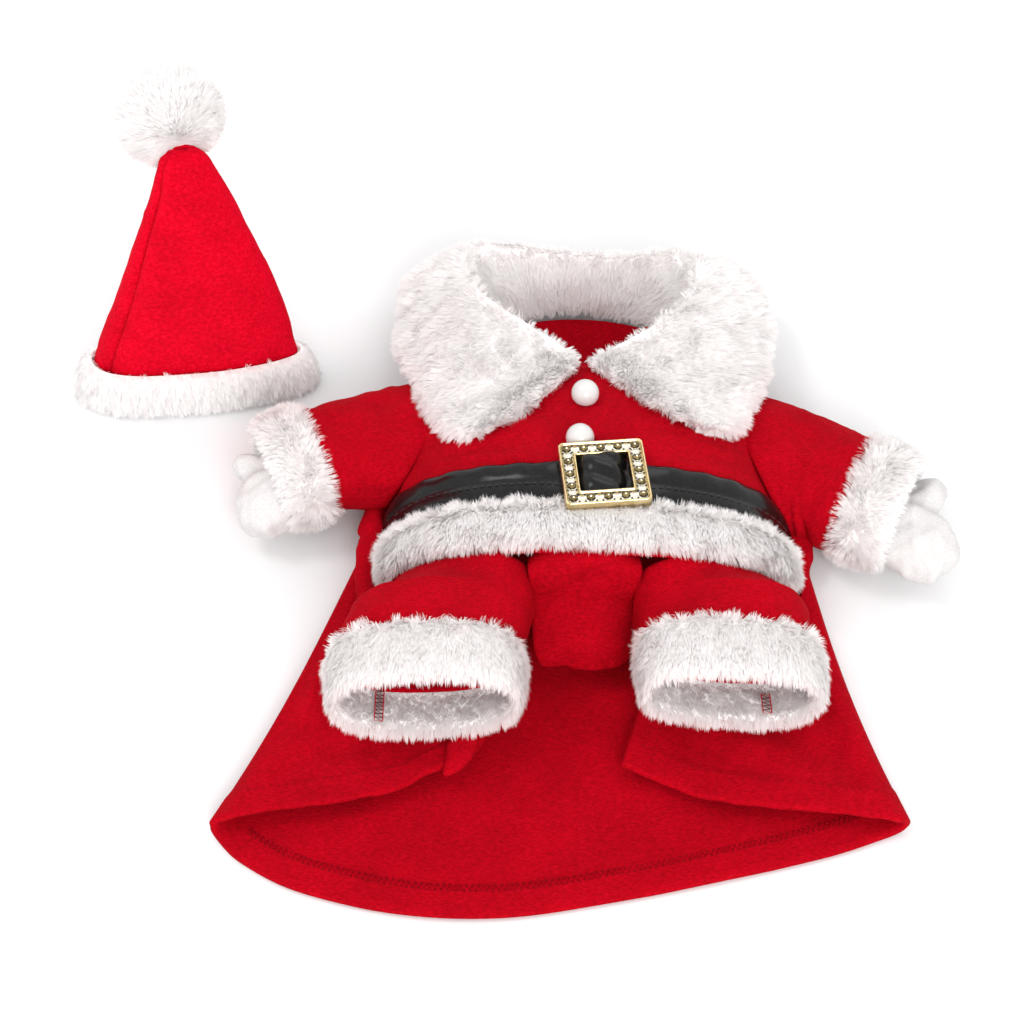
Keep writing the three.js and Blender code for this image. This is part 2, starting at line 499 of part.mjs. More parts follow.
// Collar: plush folded over along its top, from the left front round the back to the right front
const COLLAR = [
  { turn: 93, foldX: -3, foldY: 56, foldZ: 56, edgeX: -40, edgeY: 19.5, edgeZ: 50, swell: 6 },
  { turn: 112, foldX: -16, foldY: 66, foldZ: 59, edgeX: -53, edgeY: 26, edgeZ: 46, swell: 1 },
  { turn: 140, foldX: -31, foldY: 81, foldZ: 59, edgeX: -63, edgeY: 46, edgeZ: 42, swell: 0 },
  { turn: 165, foldX: -41, foldY: 95, foldZ: 58, edgeX: -71, edgeY: 73, edgeZ: 35, swell: 0 },
  { turn: 188, foldX: -45, foldY: 110, foldZ: 55, edgeX: -75.5, edgeY: 103, edgeZ: 25, swell: 0 },
  { turn: 214, foldX: -46, foldY: 125, foldZ: 50, edgeX: -74, edgeY: 131, edgeZ: 25, swell: 0 },
  { turn: 238, foldX: -34, foldY: 133, foldZ: 47, edgeX: -58, edgeY: 150, edgeZ: 15, swell: 0 },
  { turn: 258, foldX: -12, foldY: 132, foldZ: 44, edgeX: -20, edgeY: 152, edgeZ: 8, swell: 0 },
  { turn: 282, foldX: 12, foldY: 130, foldZ: 44, edgeX: 20, edgeY: 151, edgeZ: 8, swell: 0 },
  { turn: 302, foldX: 35, foldY: 128, foldZ: 47, edgeX: 60, edgeY: 147, edgeZ: 15, swell: 0 },
  { turn: 326, foldX: 46, foldY: 119, foldZ: 51, edgeX: 77, edgeY: 130, edgeZ: 26, swell: 0 },
  { turn: 352, foldX: 44, foldY: 102, foldZ: 55, edgeX: 79, edgeY: 100, edgeZ: 25, swell: 0 },
  { turn: 375, foldX: 38, foldY: 88, foldZ: 58, edgeX: 74, edgeY: 71, edgeZ: 35, swell: 0 },
  { turn: 400, foldX: 29, foldY: 75, foldZ: 59, edgeX: 66, edgeY: 46, edgeZ: 42, swell: 0 },
  { turn: 428, foldX: 15, foldY: 63, foldZ: 59, edgeX: 55, edgeY: 27, edgeZ: 47, swell: -1 },
  { turn: 447, foldX: 2, foldY: 54.5, foldZ: 56, edgeX: 43, edgeY: 22.5, edgeZ: 51, swell: -6 },
];
const COLLAR_PLUSH = 8;
function collarSection(share) {
  const turn = column(COLLAR, 'turn', share);
  const seam = neckRing(turn, -1).add(point(0, 0, 1.2));
  const root = neckRing(turn, COLLAR_PLUSH * 0.7).add(point(0, 0, 1.2));
  const fold = point(column(COLLAR, 'foldX', share), column(COLLAR, 'foldY', share), column(COLLAR, 'foldZ', share));
  const edge = point(column(COLLAR, 'edgeX', share), column(COLLAR, 'edgeY', share), column(COLLAR, 'edgeZ', share));
  const over = edge.clone().sub(fold);
  const across = point(over.x, over.y, 0).normalize();
  const down = point(0, 0, -1);
  const aside = point(-across.y, across.x, 0).multiplyScalar(column(COLLAR, 'swell', share));
  const top = fold.clone().lerp(edge, 0.14).addScaledVector(down, -1.5);
  const crown = fold.clone().lerp(edge, 0.5).addScaledVector(down, -4.5).add(aside);
  const lip = edge.clone().addScaledVector(across, 0.5);
  const under = edge.clone().addScaledVector(across, -3).addScaledVector(down, COLLAR_PLUSH * 0.8);
  const belly = crown.clone().addScaledVector(down, COLLAR_PLUSH + 1).addScaledVector(across, -3);
  const armpit = root.clone().lerp(belly, 0.45).addScaledVector(down, -3);
  const inner = seam.clone().lerp(fold, 0.55).addScaledVector(across, -1);
  const rim = fold.clone().addScaledVector(down, 2).addScaledVector(across, -1);
  const shoulder = fold.clone().lerp(edge, 0.8).addScaledVector(down, -3.5).addScaledVector(aside, 0.7);
  return [seam, inner, rim, top, crown, shoulder, lip, under, belly, armpit, root];
}
const collarBody = loft(steps(36).map(collarSection));
add('collar', cut(collarBody, chestBlock, ...sleeveBlocks), 'plush');

// Hat: two fleece panels, a plush brim that stands on the floor, and a pompom at the tip
const HAT_CONE = [
  { x: -160, y: 96.5, half: 44, front: 12, back: 8 }, { x: -157.5, y: 96.3, half: 41, front: 12, back: 8 },
  { x: -154, y: 96, half: 35.5, front: 11.5, back: 8 }, { x: -151.3, y: 95.5, half: 29, front: 10.5, back: 7.5 },
  { x: -149.3, y: 95, half: 21.5, front: 9, back: 7 }, { x: -148, y: 94.5, half: 13.5, front: 7, back: 6 },
  { x: -147.5, y: 94, half: 3.6, front: 3, back: 3 },
];
function hatRing(degrees, z, spare = 0) {
  const share = z / HAT.cone;
  const angle = rad(degrees);
  const near = Math.sin(angle) < 0;
  const half = column(HAT_CONE, 'half', share) + spare;
  const egg = near ? 1 - HAT.egg * Math.cos(angle) * (1 - share) : 1;
  const deep = column(HAT_CONE, near ? 'front' : 'back', share) * egg + spare;
  const side = half * power(Math.cos(angle), 2 / HAT.square);
  const away = deep * power(Math.sin(angle), 2 / (near ? HAT.square : HAT.pinch));
  const turn = rad(HAT.turn);
  const x = column(HAT_CONE, 'x', share) + side * Math.cos(turn) - away * Math.sin(turn);
  return point(x, column(HAT_CONE, 'y', share) + side * Math.sin(turn) + away * Math.cos(turn), z);
}
const HAT_SIDES = 24;
const HAT_FOOT = 3;               // the panels stop short of the floor inside the brim
const hatRows = steps(8).map((share) => mix(HAT_FOOT, HAT.cone, 1 - (1 - share) ** 1.15));
for (const [name, start] of [['hat_front', HAT.seam], ['hat_back', HAT.seam - 180]]) {
  const open = 0.4;
  const panel = (spare) => hatRows.map((z) => steps(HAT_SIDES / 2).map((t) => hatRing(start + mix(open, 180 - open, t), z, spare)));
  add(name, wall(panel(0), panel(-CLOTH * 0.9)), 'hatFleece');
}
const brimOutline = [
  { z: 0, out: 0 }, { z: 0, out: 0.75 }, { z: 0.2, out: 1 }, { z: 0.75, out: 1 },
  { z: 1, out: 0.6 }, { z: 1, out: 0.15 }, { z: 0.85, out: 0 },
];
const brimSections = steps(HAT_SIDES).slice(0, HAT_SIDES).map((t) => brimOutline.map(({ z, out }) => (
  hatRing(HAT.seam + t * 360, z * HAT.brimHeight, 2 * SEAM + out * PLUSH.brim)
)));
add('hat_brim', loft(brimSections, true), 'plush');

// Pompom: locks of fur on a round core, fewer where the tip of the hat goes in
const pompomMiddle = point(POMPOM.x, POMPOM.y, POMPOM.z);
const tipRow = HAT_CONE[HAT_CONE.length - 1];
const hatTip = point(tipRow.x, tipRow.y, HAT.cone);
const toTip = hatTip.clone().sub(pompomMiddle).normalize();
function lock(direction, length) {
  const side = point(direction.z, direction.x, direction.y).cross(direction).normalize();
  const other = direction.clone().cross(side);
  const ring = (distance, width) => steps(3).slice(0, 3).map((t) => pompomMiddle.clone()
    .addScaledVector(direction, distance)
    .addScaledVector(side, width * Math.cos(t * 2 * Math.PI))
    .addScaledVector(other, width * Math.sin(t * 2 * Math.PI)));
  const width = POMPOM.lockWidth / 2;
  return loft([ring(POMPOM.core - 2, width), ring(mix(POMPOM.core, length, 0.55), width * 0.85), ring(length, width * 0.25)]);
}
const core = new THREE.IcosahedronGeometry(POMPOM.core, 2).translate(POMPOM.x, POMPOM.y, POMPOM.z);
let pompom = solid(bare(core));
const GOLDEN_ANGLE = Math.PI * (3 - Math.sqrt(5));
for (let k = 0; k < POMPOM.locks; k += 1) {
  const z = 1 - 2 * (k + 0.5) / POMPOM.locks;
  const flat = Math.sqrt(1 - z * z);
  const direction = point(flat * Math.cos(k * GOLDEN_ANGLE), flat * Math.sin(k * GOLDEN_ANGLE), z);
  if (direction.dot(toTip) > 0.62) continue;
  pompom = pompom.add(solid(lock(direction, POMPOM.radius * (1 - 0.05 * (k % 3)))));
}
const hatBlock = solid(loft(hatRows.map((z) => steps(HAT_SIDES).slice(0, HAT_SIDES).map((t) => hatRing(t * 360, z, SEAM)))));
add('pompom', geometryOf(largest(pompom.subtract(hatBlock))), 'plush');

// The origin is on the floor under the middle of the whole set
const box = new THREE.Box3().setFromObject(costume, true);
costume.position.set(-(box.min.x + box.max.x) / 2, -(box.min.y + box.max.y) / 2, -box.min.z);

export default costume;
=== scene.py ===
# Looks of the pet santa costume: a coat laid on its back and a hat that stands on its brim.
# All tables and sizes are in millimetres, with the coat's middle at x = 0, and +Y towards the collar.
import math

import bpy
import numpy as np
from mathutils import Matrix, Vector, kdtree
from mathutils.bvhtree import BVHTree


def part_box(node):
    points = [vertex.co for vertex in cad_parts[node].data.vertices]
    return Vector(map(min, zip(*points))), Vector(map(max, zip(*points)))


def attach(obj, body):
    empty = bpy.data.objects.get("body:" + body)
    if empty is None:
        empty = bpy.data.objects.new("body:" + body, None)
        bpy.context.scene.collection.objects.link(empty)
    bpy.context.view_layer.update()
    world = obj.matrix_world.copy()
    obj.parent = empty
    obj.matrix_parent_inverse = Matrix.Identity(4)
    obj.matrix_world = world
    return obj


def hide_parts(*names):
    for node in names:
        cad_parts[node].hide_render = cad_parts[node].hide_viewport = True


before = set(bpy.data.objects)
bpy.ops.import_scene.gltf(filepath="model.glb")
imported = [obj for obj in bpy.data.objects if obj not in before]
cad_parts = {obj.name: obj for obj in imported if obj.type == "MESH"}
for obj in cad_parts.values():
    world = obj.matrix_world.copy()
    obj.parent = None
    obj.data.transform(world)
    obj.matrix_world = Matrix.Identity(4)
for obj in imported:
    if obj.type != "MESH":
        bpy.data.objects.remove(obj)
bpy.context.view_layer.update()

# Sizes of the coat and the hat
CLOTH = 2.0
SEAM = 0.3
CHEST = {"half": 77, "height": 56, "square": 2.15}
NECK = {"x": -2, "y": 91, "z": 30, "radius": 39.5, "slope": 31, "side": -38}
SHOULDER_Y = 44
BACK_WAIST_Y = -9
BELT = {"width": 17.5, "thick": 1.4, "y": -8.2, "bow": 8.8, "slope": -2.5, "end": 0.06}
TRIM = {"width": 18, "thick": 7.5, "below": 18.2, "start": 0.09, "end": 0.945}
HEM_BELOW_BELT = 27.9
BUCKLE = {"x": 4.6, "y": -8, "width": 30.5, "height": 29, "bar": 6, "thick": 4.2, "turn": 5, "lift": 1.9}
PIN = {"hump": 3.3, "reach": 11.5, "aside": -1.2, "spread": 3.2}
BUTTON_RADIUS = 5.2
BUTTON_RISE = 2.4
BUTTONS = {"upper": (-0.8, 35.7), "lower": (-3.4, 11.5)}
HAT = {
    "turn": 2, "cone": 124, "brim": 20, "plush": 6.5, "seam": 214, "square": 2.4, "pinch": 1.7, "egg": 0.45,
}
POMPOM = {"x": -152, "y": 104, "z": 127, "core": 15.3, "dent": 5.2, "fur": 7.5}

low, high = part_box("buckle")
SHIFT = np.array([
    (low[0] + high[0]) * 500 - BUCKLE["x"],
    (low[1] + high[1]) * 500 - BUCKLE["y"],
    0.0,
])


# Small maths on arrays of points
def table(names, *rows):
    return {name: np.array(values, float) for name, values in zip(names.split(), zip(*rows))}


def spline(a, b, c, d, t):
    """The smooth curve from b to c that also heeds a before them and d after them."""
    return 0.5 * (2 * b + (c - a) * t + (2 * a - 5 * b + 4 * c - d) * t**2 + (3 * b - a - 3 * c + d) * t**3)


def column(values, share):
    """A column of a table as a smooth curve of the share 0 to 1 along its rows."""
    last = len(values) - 1
    place = np.clip(share, 0, 1) * last
    i = np.minimum(np.floor(place).astype(int), last - 1)
    t = place - i
    a, b, c, d = (values[np.clip(i + k, 0, last)] for k in (-1, 0, 1, 2))
    return spline(a, b, c, d, t)


def columns_of(rows, names, share):
    return [column(rows[name], share) for name in names.split()]


def power(value, p):
    return np.sign(value) * np.abs(value) ** p


def mix(a, b, t):
    return a + (b - a) * t


def ease(t):
    t = np.clip(t, 0, 1)
    return t * t * (3 - 2 * t)


def vec(x, y, z):
    x, y, z = np.broadcast_arrays(x, y, z)
    return np.stack([x, y, z], axis=-1).astype(float)


def unit(v):
    return v / np.maximum(np.linalg.norm(v, axis=-1, keepdims=True), 1e-9)


def sphere(lat, around):
    turn = around * 2 * math.pi
    return vec(np.sin(lat) * np.cos(turn), np.sin(lat) * np.sin(turn), np.cos(lat))


def oval(wide, tall, around, square):
    """How far aside and up the outline of a rounded box lies, at a share of the way round it."""
    turn = around * 2 * math.pi
    return wide * power(np.cos(turn), 2 / square), tall * power(np.sin(turn), 2 / square)


def field(rows, count, ring=False):
    """Two grids of shares from 0 to 1. A ring's last column stops one step short of its first."""
    v = np.linspace(0, 1, rows)
    u = np.linspace(0, 1, count, endpoint=not ring)
    return np.meshgrid(v, u, indexing="ij")


def waves(p, size, seed, count=7):
    """Smooth uneven waves over space, about -1 to 1, with folds about a size apart."""
    rng = np.random.default_rng(seed)
    total = np.zeros(p.shape[:-1])
    for _ in range(count):
        way = unit(rng.normal(size=3)) * 2 * math.pi / (size * rng.uniform(0.7, 1.6))
        total += np.sin(p @ way + rng.uniform(0, 2 * math.pi))
    return total / math.sqrt(count)


def crease(p, a, b, wide, deep):
    """How far a fold from a to b, seen from above, sinks the cloth, with soft ends and a swell beside it."""
    a, b = np.array(a, float), np.array(b, float)
    along = (b - a) / np.linalg.norm(b - a)
    away = p[..., :2] - a
    t = np.clip(away @ along / np.linalg.norm(b - a), 0, 1)
    gap = np.linalg.norm(away - t[..., None] * (b - a), axis=-1) / wide
    swell = 0.45 * np.exp(-((gap - 1.6) / 0.9) ** 2)
    return deep * np.sin(math.pi * mix(0.12, 0.88, t)) * (np.exp(-gap**2) - swell)


def lengths_of(points):
    return np.concatenate([[0], np.cumsum(np.linalg.norm(np.diff(points, axis=0), axis=1))])


def along_line(points, length, spots):
    return np.stack([np.interp(spots, length, points[:, k]) for k in range(3)], -1)


def dashes(points, pitch, share=0.68, sink=0.12):
    """A row of stitches along a line of points."""
    length = lengths_of(points)
    rows = []
    for start in np.arange(0, length[-1] - pitch, pitch):
        row = along_line(points, length, np.linspace(start, start + pitch * share, 4))
        row[[0, -1], 2] -= sink
        rows.append(row)
    return rows


def even_line(points, pitch):
    length = lengths_of(points)
    return along_line(points, length, np.arange(0, length[-1], pitch))


def zigzag(one, two, pitch):
    """One thread that runs to and fro between two lines."""
    a, b = even_line(one, pitch), even_line(two, pitch)
    count = min(len(a), len(b))
    path = np.empty((2 * count, 3))
    path[0::2], path[1::2] = a[:count], b[:count]
    return path


def steps(grid, axis, closed):
    if closed:
        return np.roll(grid, -1, axis=axis) - np.roll(grid, 1, axis=axis)
    return np.gradient(grid, axis=axis)


def normals_of(grid, ring=False, loop=False):
    return unit(np.cross(steps(grid, 1, ring), steps(grid, 0, loop)))


def facing(normal, way, where=slice(None)):
    """1 if the normals point along the way on the whole, -1 if they point against it."""
    return np.sign(np.einsum("ijk,ijk->ij", normal, way)[where].mean())


# Meshes
def mesh_object(name, points, faces, look, smooth=True, marks=None):
    mesh = bpy.data.meshes.new(name)
    points = (np.asarray(points).reshape(-1, 3) + SHIFT) / 1000
    mesh.vertices.add(len(points))
    mesh.vertices.foreach_set("co", points.astype(np.float32).ravel())
    sizes = np.concatenate([np.full(len(f), f.shape[1]) for f in faces])
    corners = np.concatenate([f.ravel() for f in faces])
    mesh.loops.add(len(corners))
    mesh.loops.foreach_set("vertex_index", corners.astype(np.int32))
    mesh.polygons.add(len(sizes))
    starts = np.concatenate([[0], np.cumsum(sizes)[:-1]])
    mesh.polygons.foreach_set("loop_start", starts.astype(np.int32))
    mesh.update(calc_edges=True)
    mesh.polygons.foreach_set("use_smooth", np.full(len(sizes), smooth))
    for mark, values in (marks or {}).items():
        layer = mesh.attributes.new(mark, "FLOAT", "POINT")
        layer.data.foreach_set("value", np.asarray(values, np.float32).ravel())
    mesh.materials.append(look)
    piece = bpy.data.objects.new(name, mesh)
    bpy.context.collection.objects.link(piece)
    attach(piece, "root")
    return piece


def quads(rows, columns, ring=False, loop=False, first=0):
    i = np.arange(rows if loop else rows - 1)[:, None]
    j = np.arange(columns if ring else columns - 1)[None, :]

    def at(a, b):
        return first + (a % rows) * columns + (b % columns)

    corners = np.broadcast_arrays(at(i, j), at(i, j + 1), at(i + 1, j + 1), at(i + 1, j))
    return np.stack(corners, axis=-1).reshape(-1, 4)


def shell(name, grid, look, thick=CLOTH, ring=False, side=-1):
    """A cloth with rounded edges. The grid is its one side, and side says which way the other lies."""
    normal = normals_of(grid, ring)
    thick = np.broadcast_to(np.asarray(thick, float), grid.shape[:2])[..., None]
    inner = grid + normal * thick * side
    rows, columns = grid.shape[:2]
    rim = float(thick.mean()) * 0.35
    middle = (grid + inner) / 2
    ends = []
    for k, n in ((0, 1), (rows - 1, rows - 2)):
        ends.append(middle[k] + unit(middle[k] - middle[n]) * rim)
    points = [grid.reshape(-1, 3), inner.reshape(-1, 3), ends[0], ends[1]]
    count = rows * columns

    def at(layer, i, j):
        return layer * count + i * columns + j

    j = np.arange(columns if ring else columns - 1)
    k = (j + 1) % columns
    low_rim, high_rim = 2 * count, 2 * count + columns
    faces = [quads(rows, columns, ring), quads(rows, columns, ring, first=count)[:, ::-1]]
    faces.append(np.stack([low_rim + j, low_rim + k, at(0, 0, k), at(0, 0, j)], -1))
    faces.append(np.stack([at(1, 0, j), at(1, 0, k), low_rim + k, low_rim + j], -1))
    faces.append(np.stack([at(0, rows - 1, j), at(0, rows - 1, k), high_rim + k, high_rim + j], -1))
    faces.append(np.stack([high_rim + j, high_rim + k, at(1, rows - 1, k), at(1, rows - 1, j)], -1))
    if not ring:
        i = np.arange(rows - 1)
        for c, n, turn in ((0, 1, 1), (columns - 1, columns - 2, -1)):
            edge = middle[:, c] + unit(middle[:, c] - middle[:, n]) * rim
            start = sum(len(p) for p in points)
            points.append(edge)
            near = np.stack([at(0, i, c), at(0, i + 1, c), start + i + 1, start + i], -1)
            far = np.stack([start + i, start + i + 1, at(1, i + 1, c), at(1, i, c)], -1)
            faces += [near[:, ::turn], far[:, ::turn]]
            for row, edge_row in ((0, low_rim), (rows - 1, high_rim)):
                flip = turn if row == 0 else -turn
                tip = edge_row + c
                corner = np.array([[at(0, row, c), start + row, tip], [start + row, at(1, row, c), tip]])
                faces.append(corner[:, ::flip])
    return mesh_object(name, np.concatenate(points), faces, look)


def capped(sections, first=0):
    """The points and faces of a form through a row of closed sections, with a cap at each end."""
    rows, columns = sections.shape[:2]
    points = np.concatenate([sections.reshape(-1, 3), [sections[0].mean(0), sections[-1].mean(0)]])
    j = np.arange(columns)
    k = (j + 1) % columns
    cap = first + rows * columns
    last_row = cap - columns
    return points, [
        quads(rows, columns, ring=True, first=first),
        np.stack([first + k, first + j, np.full(columns, cap)], -1),
        np.stack([last_row + j, last_row + k, np.full(columns, cap + 1)], -1),
    ]


def sealed(name, sections, look, loop=False):
    """A closed form through a row of closed sections, with a cap at each end or closed on itself."""
    if loop:
        rows, columns = sections.shape[:2]
        return mesh_object(name, sections, [quads(rows, columns, ring=True, loop=True)], look)
    return mesh_object(name, *capped(sections), look)


def tubes(name, paths, radius, look, sides=5):
    """Threads: each path is a row of points."""
    points, faces, first = [], [], 0
    for path in paths:
        path = np.asarray(path, float)
        ahead = unit(np.gradient(path, axis=0))
        helper = np.where(np.abs(ahead[:, 2:3]) > 0.9, [[1.0, 0, 0]], [[0, 0, 1.0]])
        one = unit(np.cross(ahead, helper))
        two = np.cross(ahead, one)
        turn = np.arange(sides) * 2 * math.pi / sides
        taper = np.ones(len(path))
        taper[[0, -1]] = 0.3
        ring = path[:, None] + (radius * taper)[:, None, None] * (
            one[:, None] * np.cos(turn)[None, :, None] + two[:, None] * np.sin(turn)[None, :, None]
        )
        points.append(ring.reshape(-1, 3))
        faces.append(quads(len(path), sides, ring=True, first=first))
        first += len(path) * sides
    return mesh_object(name, np.concatenate(points), faces, look)


# Fur: tapered flat hairs on a grid, drawn together into tufts
# How its hairs vary: the jitter of their way, their least way out, their shortest and longest share, how far
# a tuft draws them in, how far their flat side turns from facing out, and their thinnest and widest share
HAIR = {
    "jitter": 0.14, "out": 0.22, "long": (0.72, 1.12), "pull": (0.6, 1.15), "tilt": 0.28, "wide": (0.7, 1.3),
}


def fur(name, grid, curved, fine, length, comb, seed, normal, tuft, loop=False, rise=0.8, lean=0.9,
        clump=0.56, width=0.38, density=None, stray=0.3, wander=7.0):
    length = np.broadcast_to(np.asarray(length, float), grid.shape[:2])
    density = np.ones(grid.shape[:2]) if density is None else density
    layers = [grid, normal, comb, length[..., None], density[..., None]]
    layers = [np.concatenate([f, f[:, :1]], axis=1) for f in layers]
    if loop:
        layers = [np.concatenate([f, f[:1]], axis=0) for f in layers]
    base, normal, comb, length, density = layers
    a, b, c, d = base[:-1, :-1], base[1:, :-1], base[1:, 1:], base[:-1, 1:]
    area = np.linalg.norm(np.cross(c - a, d - b), axis=-1) * density[:-1, :-1, 0]
    rng = np.random.default_rng(seed)
    count = curved + fine
    picked = rng.choice(area.size, count, p=(area / area.sum()).ravel())
    i, j = np.divmod(picked, area.shape[1])
    s, t = rng.random((2, count, 1))

    def spread(f):
        return mix(mix(f[i, j], f[i + 1, j], s), mix(f[i, j + 1], f[i + 1, j + 1], s), t)

    root, up, way, long = spread(base), unit(spread(normal)), spread(comb), spread(length)
    drift = np.stack([waves(root, wander, seed + 11 * k) for k in (1, 2, 3)], axis=-1)
    way = unit(up * rise + way * lean + drift * stray + rng.normal(size=(count, 3)) * HAIR["jitter"])
    below = np.einsum("ij,ij->i", way, up)
    way = unit(way + up * np.maximum(HAIR["out"] - below, 0)[:, None])
    long = long * rng.uniform(*HAIR["long"], (count, 1))
    guides = max(count // tuft, 1)
    tree = kdtree.KDTree(guides)
    for k in range(guides):
        tree.insert(root[k], k)
    tree.balance()
    guide = np.array([tree.find(p)[1] for p in root])
    tip = root + way * long
    target = root[guide] + way[guide] * long[guide] + (root - root[guide]) * 0.22
    pull = clump * rng.uniform(*HAIR["pull"], (count, 1))
    tip = mix(tip, target, np.clip(pull, 0, 0.92))
    middle = mix(root + way * long * 0.55 + up * long * 0.07, mix(root, tip, 0.55), 0.45)
    tip[:, 2] = np.maximum(tip[:, 2] - 0.04 * long[:, 0], 0.05)
    middle[:, 2] = np.maximum(middle[:, 2], 0.05)
    side = unit(np.cross(tip - root, up))
    tilt = rng.uniform(-HAIR["tilt"], HAIR["tilt"], (count, 1))
    side = unit(side * np.cos(tilt) + unit(np.cross(side, tip - root)) * np.sin(tilt))
    half = width / 2 * rng.uniform(*HAIR["wide"], (count, 1))
    a, b = slice(0, curved), slice(curved, count)
    left, right, waist = root - side * half, root + side * half, side * half * 0.8
    bent = np.stack([left, right, middle + waist, middle - waist, tip], axis=1)[a]
    straight = np.stack([left, right, mix(root, tip, 0.9)], axis=1)[b]
    points = np.concatenate([bent.reshape(-1, 3), straight.reshape(-1, 3)])
    first = np.arange(curved)[:, None] * 5
    start = 5 * curved + np.arange(fine)[:, None] * 3
    faces = [first + np.array([[0, 1, 2, 3]]), first + np.array([[3, 2, 4]]), start + np.array([[0, 1, 2]])]
    shade = rng.uniform(0, 1, (guides,))[guide] * 0.6 + rng.uniform(0, 0.4, count)
    # reach says how far along its hair a point lies; the plush colour uses it to paint shade at the roots
    marks = {
        "reach": np.concatenate([np.tile([0.0, 0.0, 0.6, 0.6, 1.0], curved), np.tile([0.0, 0.0, 0.9], fine)]),
        "shade": np.concatenate([np.repeat(shade[a], 5), np.repeat(shade[b], 3)]),
    }
    return mesh_object(name, points, faces, PLUSH, marks=marks)


# Materials
def new_look(name):
    look = bpy.data.materials.new(name)
    look.use_nodes = True
    nodes, links = look.node_tree.nodes, look.node_tree.links
    return look, nodes, links, nodes["Principled BSDF"]


def set_values(node, values):
    for name, value in values.items():
        node.inputs[name].default_value = value


def noise(nodes, links, scale, detail, stretch=None):
    where = nodes.new("ShaderNodeTexCoord")
    node = nodes.new("ShaderNodeTexNoise")
    set_values(node, {"Scale": scale, "Detail": detail, "Roughness": 0.55})
    source = where.outputs["Object"]
    if stretch:
        mapping = nodes.new("ShaderNodeMapping")
        set_values(mapping, {"Scale": stretch, "Rotation": (0.3, 0.2, 0.6)})
        links.new(source, mapping.inputs["Vector"])
        source = mapping.outputs["Vector"]
    links.new(source, node.inputs["Vector"])
    return node.outputs["Fac"]


def ramp(nodes, links, value, stops):
    node = nodes.new("ShaderNodeValToRGB")
    while len(node.color_ramp.elements) < len(stops):
        node.color_ramp.elements.new(0.5)
    for element, (place, color) in zip(node.color_ramp.elements, stops):
        element.position = place
        element.color = (*color, 1)
    links.new(value, node.inputs["Fac"])
    return node.outputs["Color"]


def multiply_colors(nodes, links, a, b):
    node = nodes.new("ShaderNodeMix")
    node.data_type = "RGBA"
    node.blend_type = "MULTIPLY"
    node.inputs[0].default_value = 1.0
    links.new(a, node.inputs[6])
    links.new(b, node.inputs[7])
    return node.outputs[2]


def bump(nodes, links, shader, heights):
    """Bumps one after another: (height, strength, distance in metres)."""
    last = None
    for height, strength, distance in heights:
        node = nodes.new("ShaderNodeBump")
        set_values(node, {"Strength": strength, "Distance": distance})
        links.new(height, node.inputs["Height"])
        if last:
            links.new(last, node.inputs["Normal"])
        last = node.outputs["Normal"]
    links.new(last, shader.inputs["Normal"])


def fleece_look(name, dark, middle, bright, sheen):
    look, nodes, links, shader = new_look(name)
    nap = noise(nodes, links, 620, 3, (1, 2.6, 1.4))
    pile = noise(nodes, links, 2200, 3)
    patch = noise(nodes, links, 60, 4)
    color = ramp(nodes, links, nap, [(0.3, dark), (0.5, middle), (0.72, bright)])
    shaded = ramp(nodes, links, patch, [(0.3, (0.82, 0.8, 0.8)), (0.7, (1.0, 1.0, 1.0))])
    links.new(multiply_colors(nodes, links, color, shaded), shader.inputs["Base Color"])
    set_values(shader, {"Roughness": 0.92, "Specular IOR Level": 0.06, "Sheen Weight": sheen,
                        "Sheen Roughness": 0.45, "Sheen Tint": (*bright, 1)})
    bump(nodes, links, shader, [(patch, 0.25, 0.0012), (nap, 0.55, 0.0005), (pile, 0.6, 0.0003)])
    return look


def fur_look(name, root, tip):
    look, nodes, links, shader = new_look(name)
    reach = nodes.new("ShaderNodeAttribute")
    reach.attribute_name = "reach"
    shade = nodes.new("ShaderNodeAttribute")
    shade.attribute_name = "shade"
    # Each hair is painted darker towards its root: painted shade for the depth of the fur
    color = ramp(nodes, links, reach.outputs["Fac"], [(0.0, root), (0.55, tip)])
    tint = ramp(nodes, links, shade.outputs["Fac"], [(0.0, (0.975, 0.97, 0.97)), (1.0, (1.0, 1.0, 1.0))])
    links.new(multiply_colors(nodes, links, color, tint), shader.inputs["Base Color"])
    set_values(shader, {"Roughness": 0.7, "Specular IOR Level": 0.2})
    through = nodes.new("ShaderNodeBsdfTranslucent")
    links.new(shader.inputs["Base Color"].links[0].from_socket, through.inputs["Color"])
    both = nodes.new("ShaderNodeMixShader")
    both.inputs["Fac"].default_value = 0.5
    links.new(shader.outputs["BSDF"], both.inputs[1])
    links.new(through.outputs["BSDF"], both.inputs[2])
    links.new(both.outputs["Shader"], nodes["Material Output"].inputs["Surface"])
    return look


def plain_look(name, stops, scale, rough=0.5, metal=0.0, height=0.3, depth=0.0002, coat=0.0, specular=0.5):
    look, nodes, links, shader = new_look(name)
    grain = noise(nodes, links, scale, 4)
    links.new(ramp(nodes, links, grain, stops), shader.inputs["Base Color"])
    set_values(shader, {"Roughness": rough, "Metallic": metal, "Coat Weight": coat, "Coat Roughness": 0.12,
                        "Specular IOR Level": specular})
    bump(nodes, links, shader, [(grain, height, depth)])
    return look


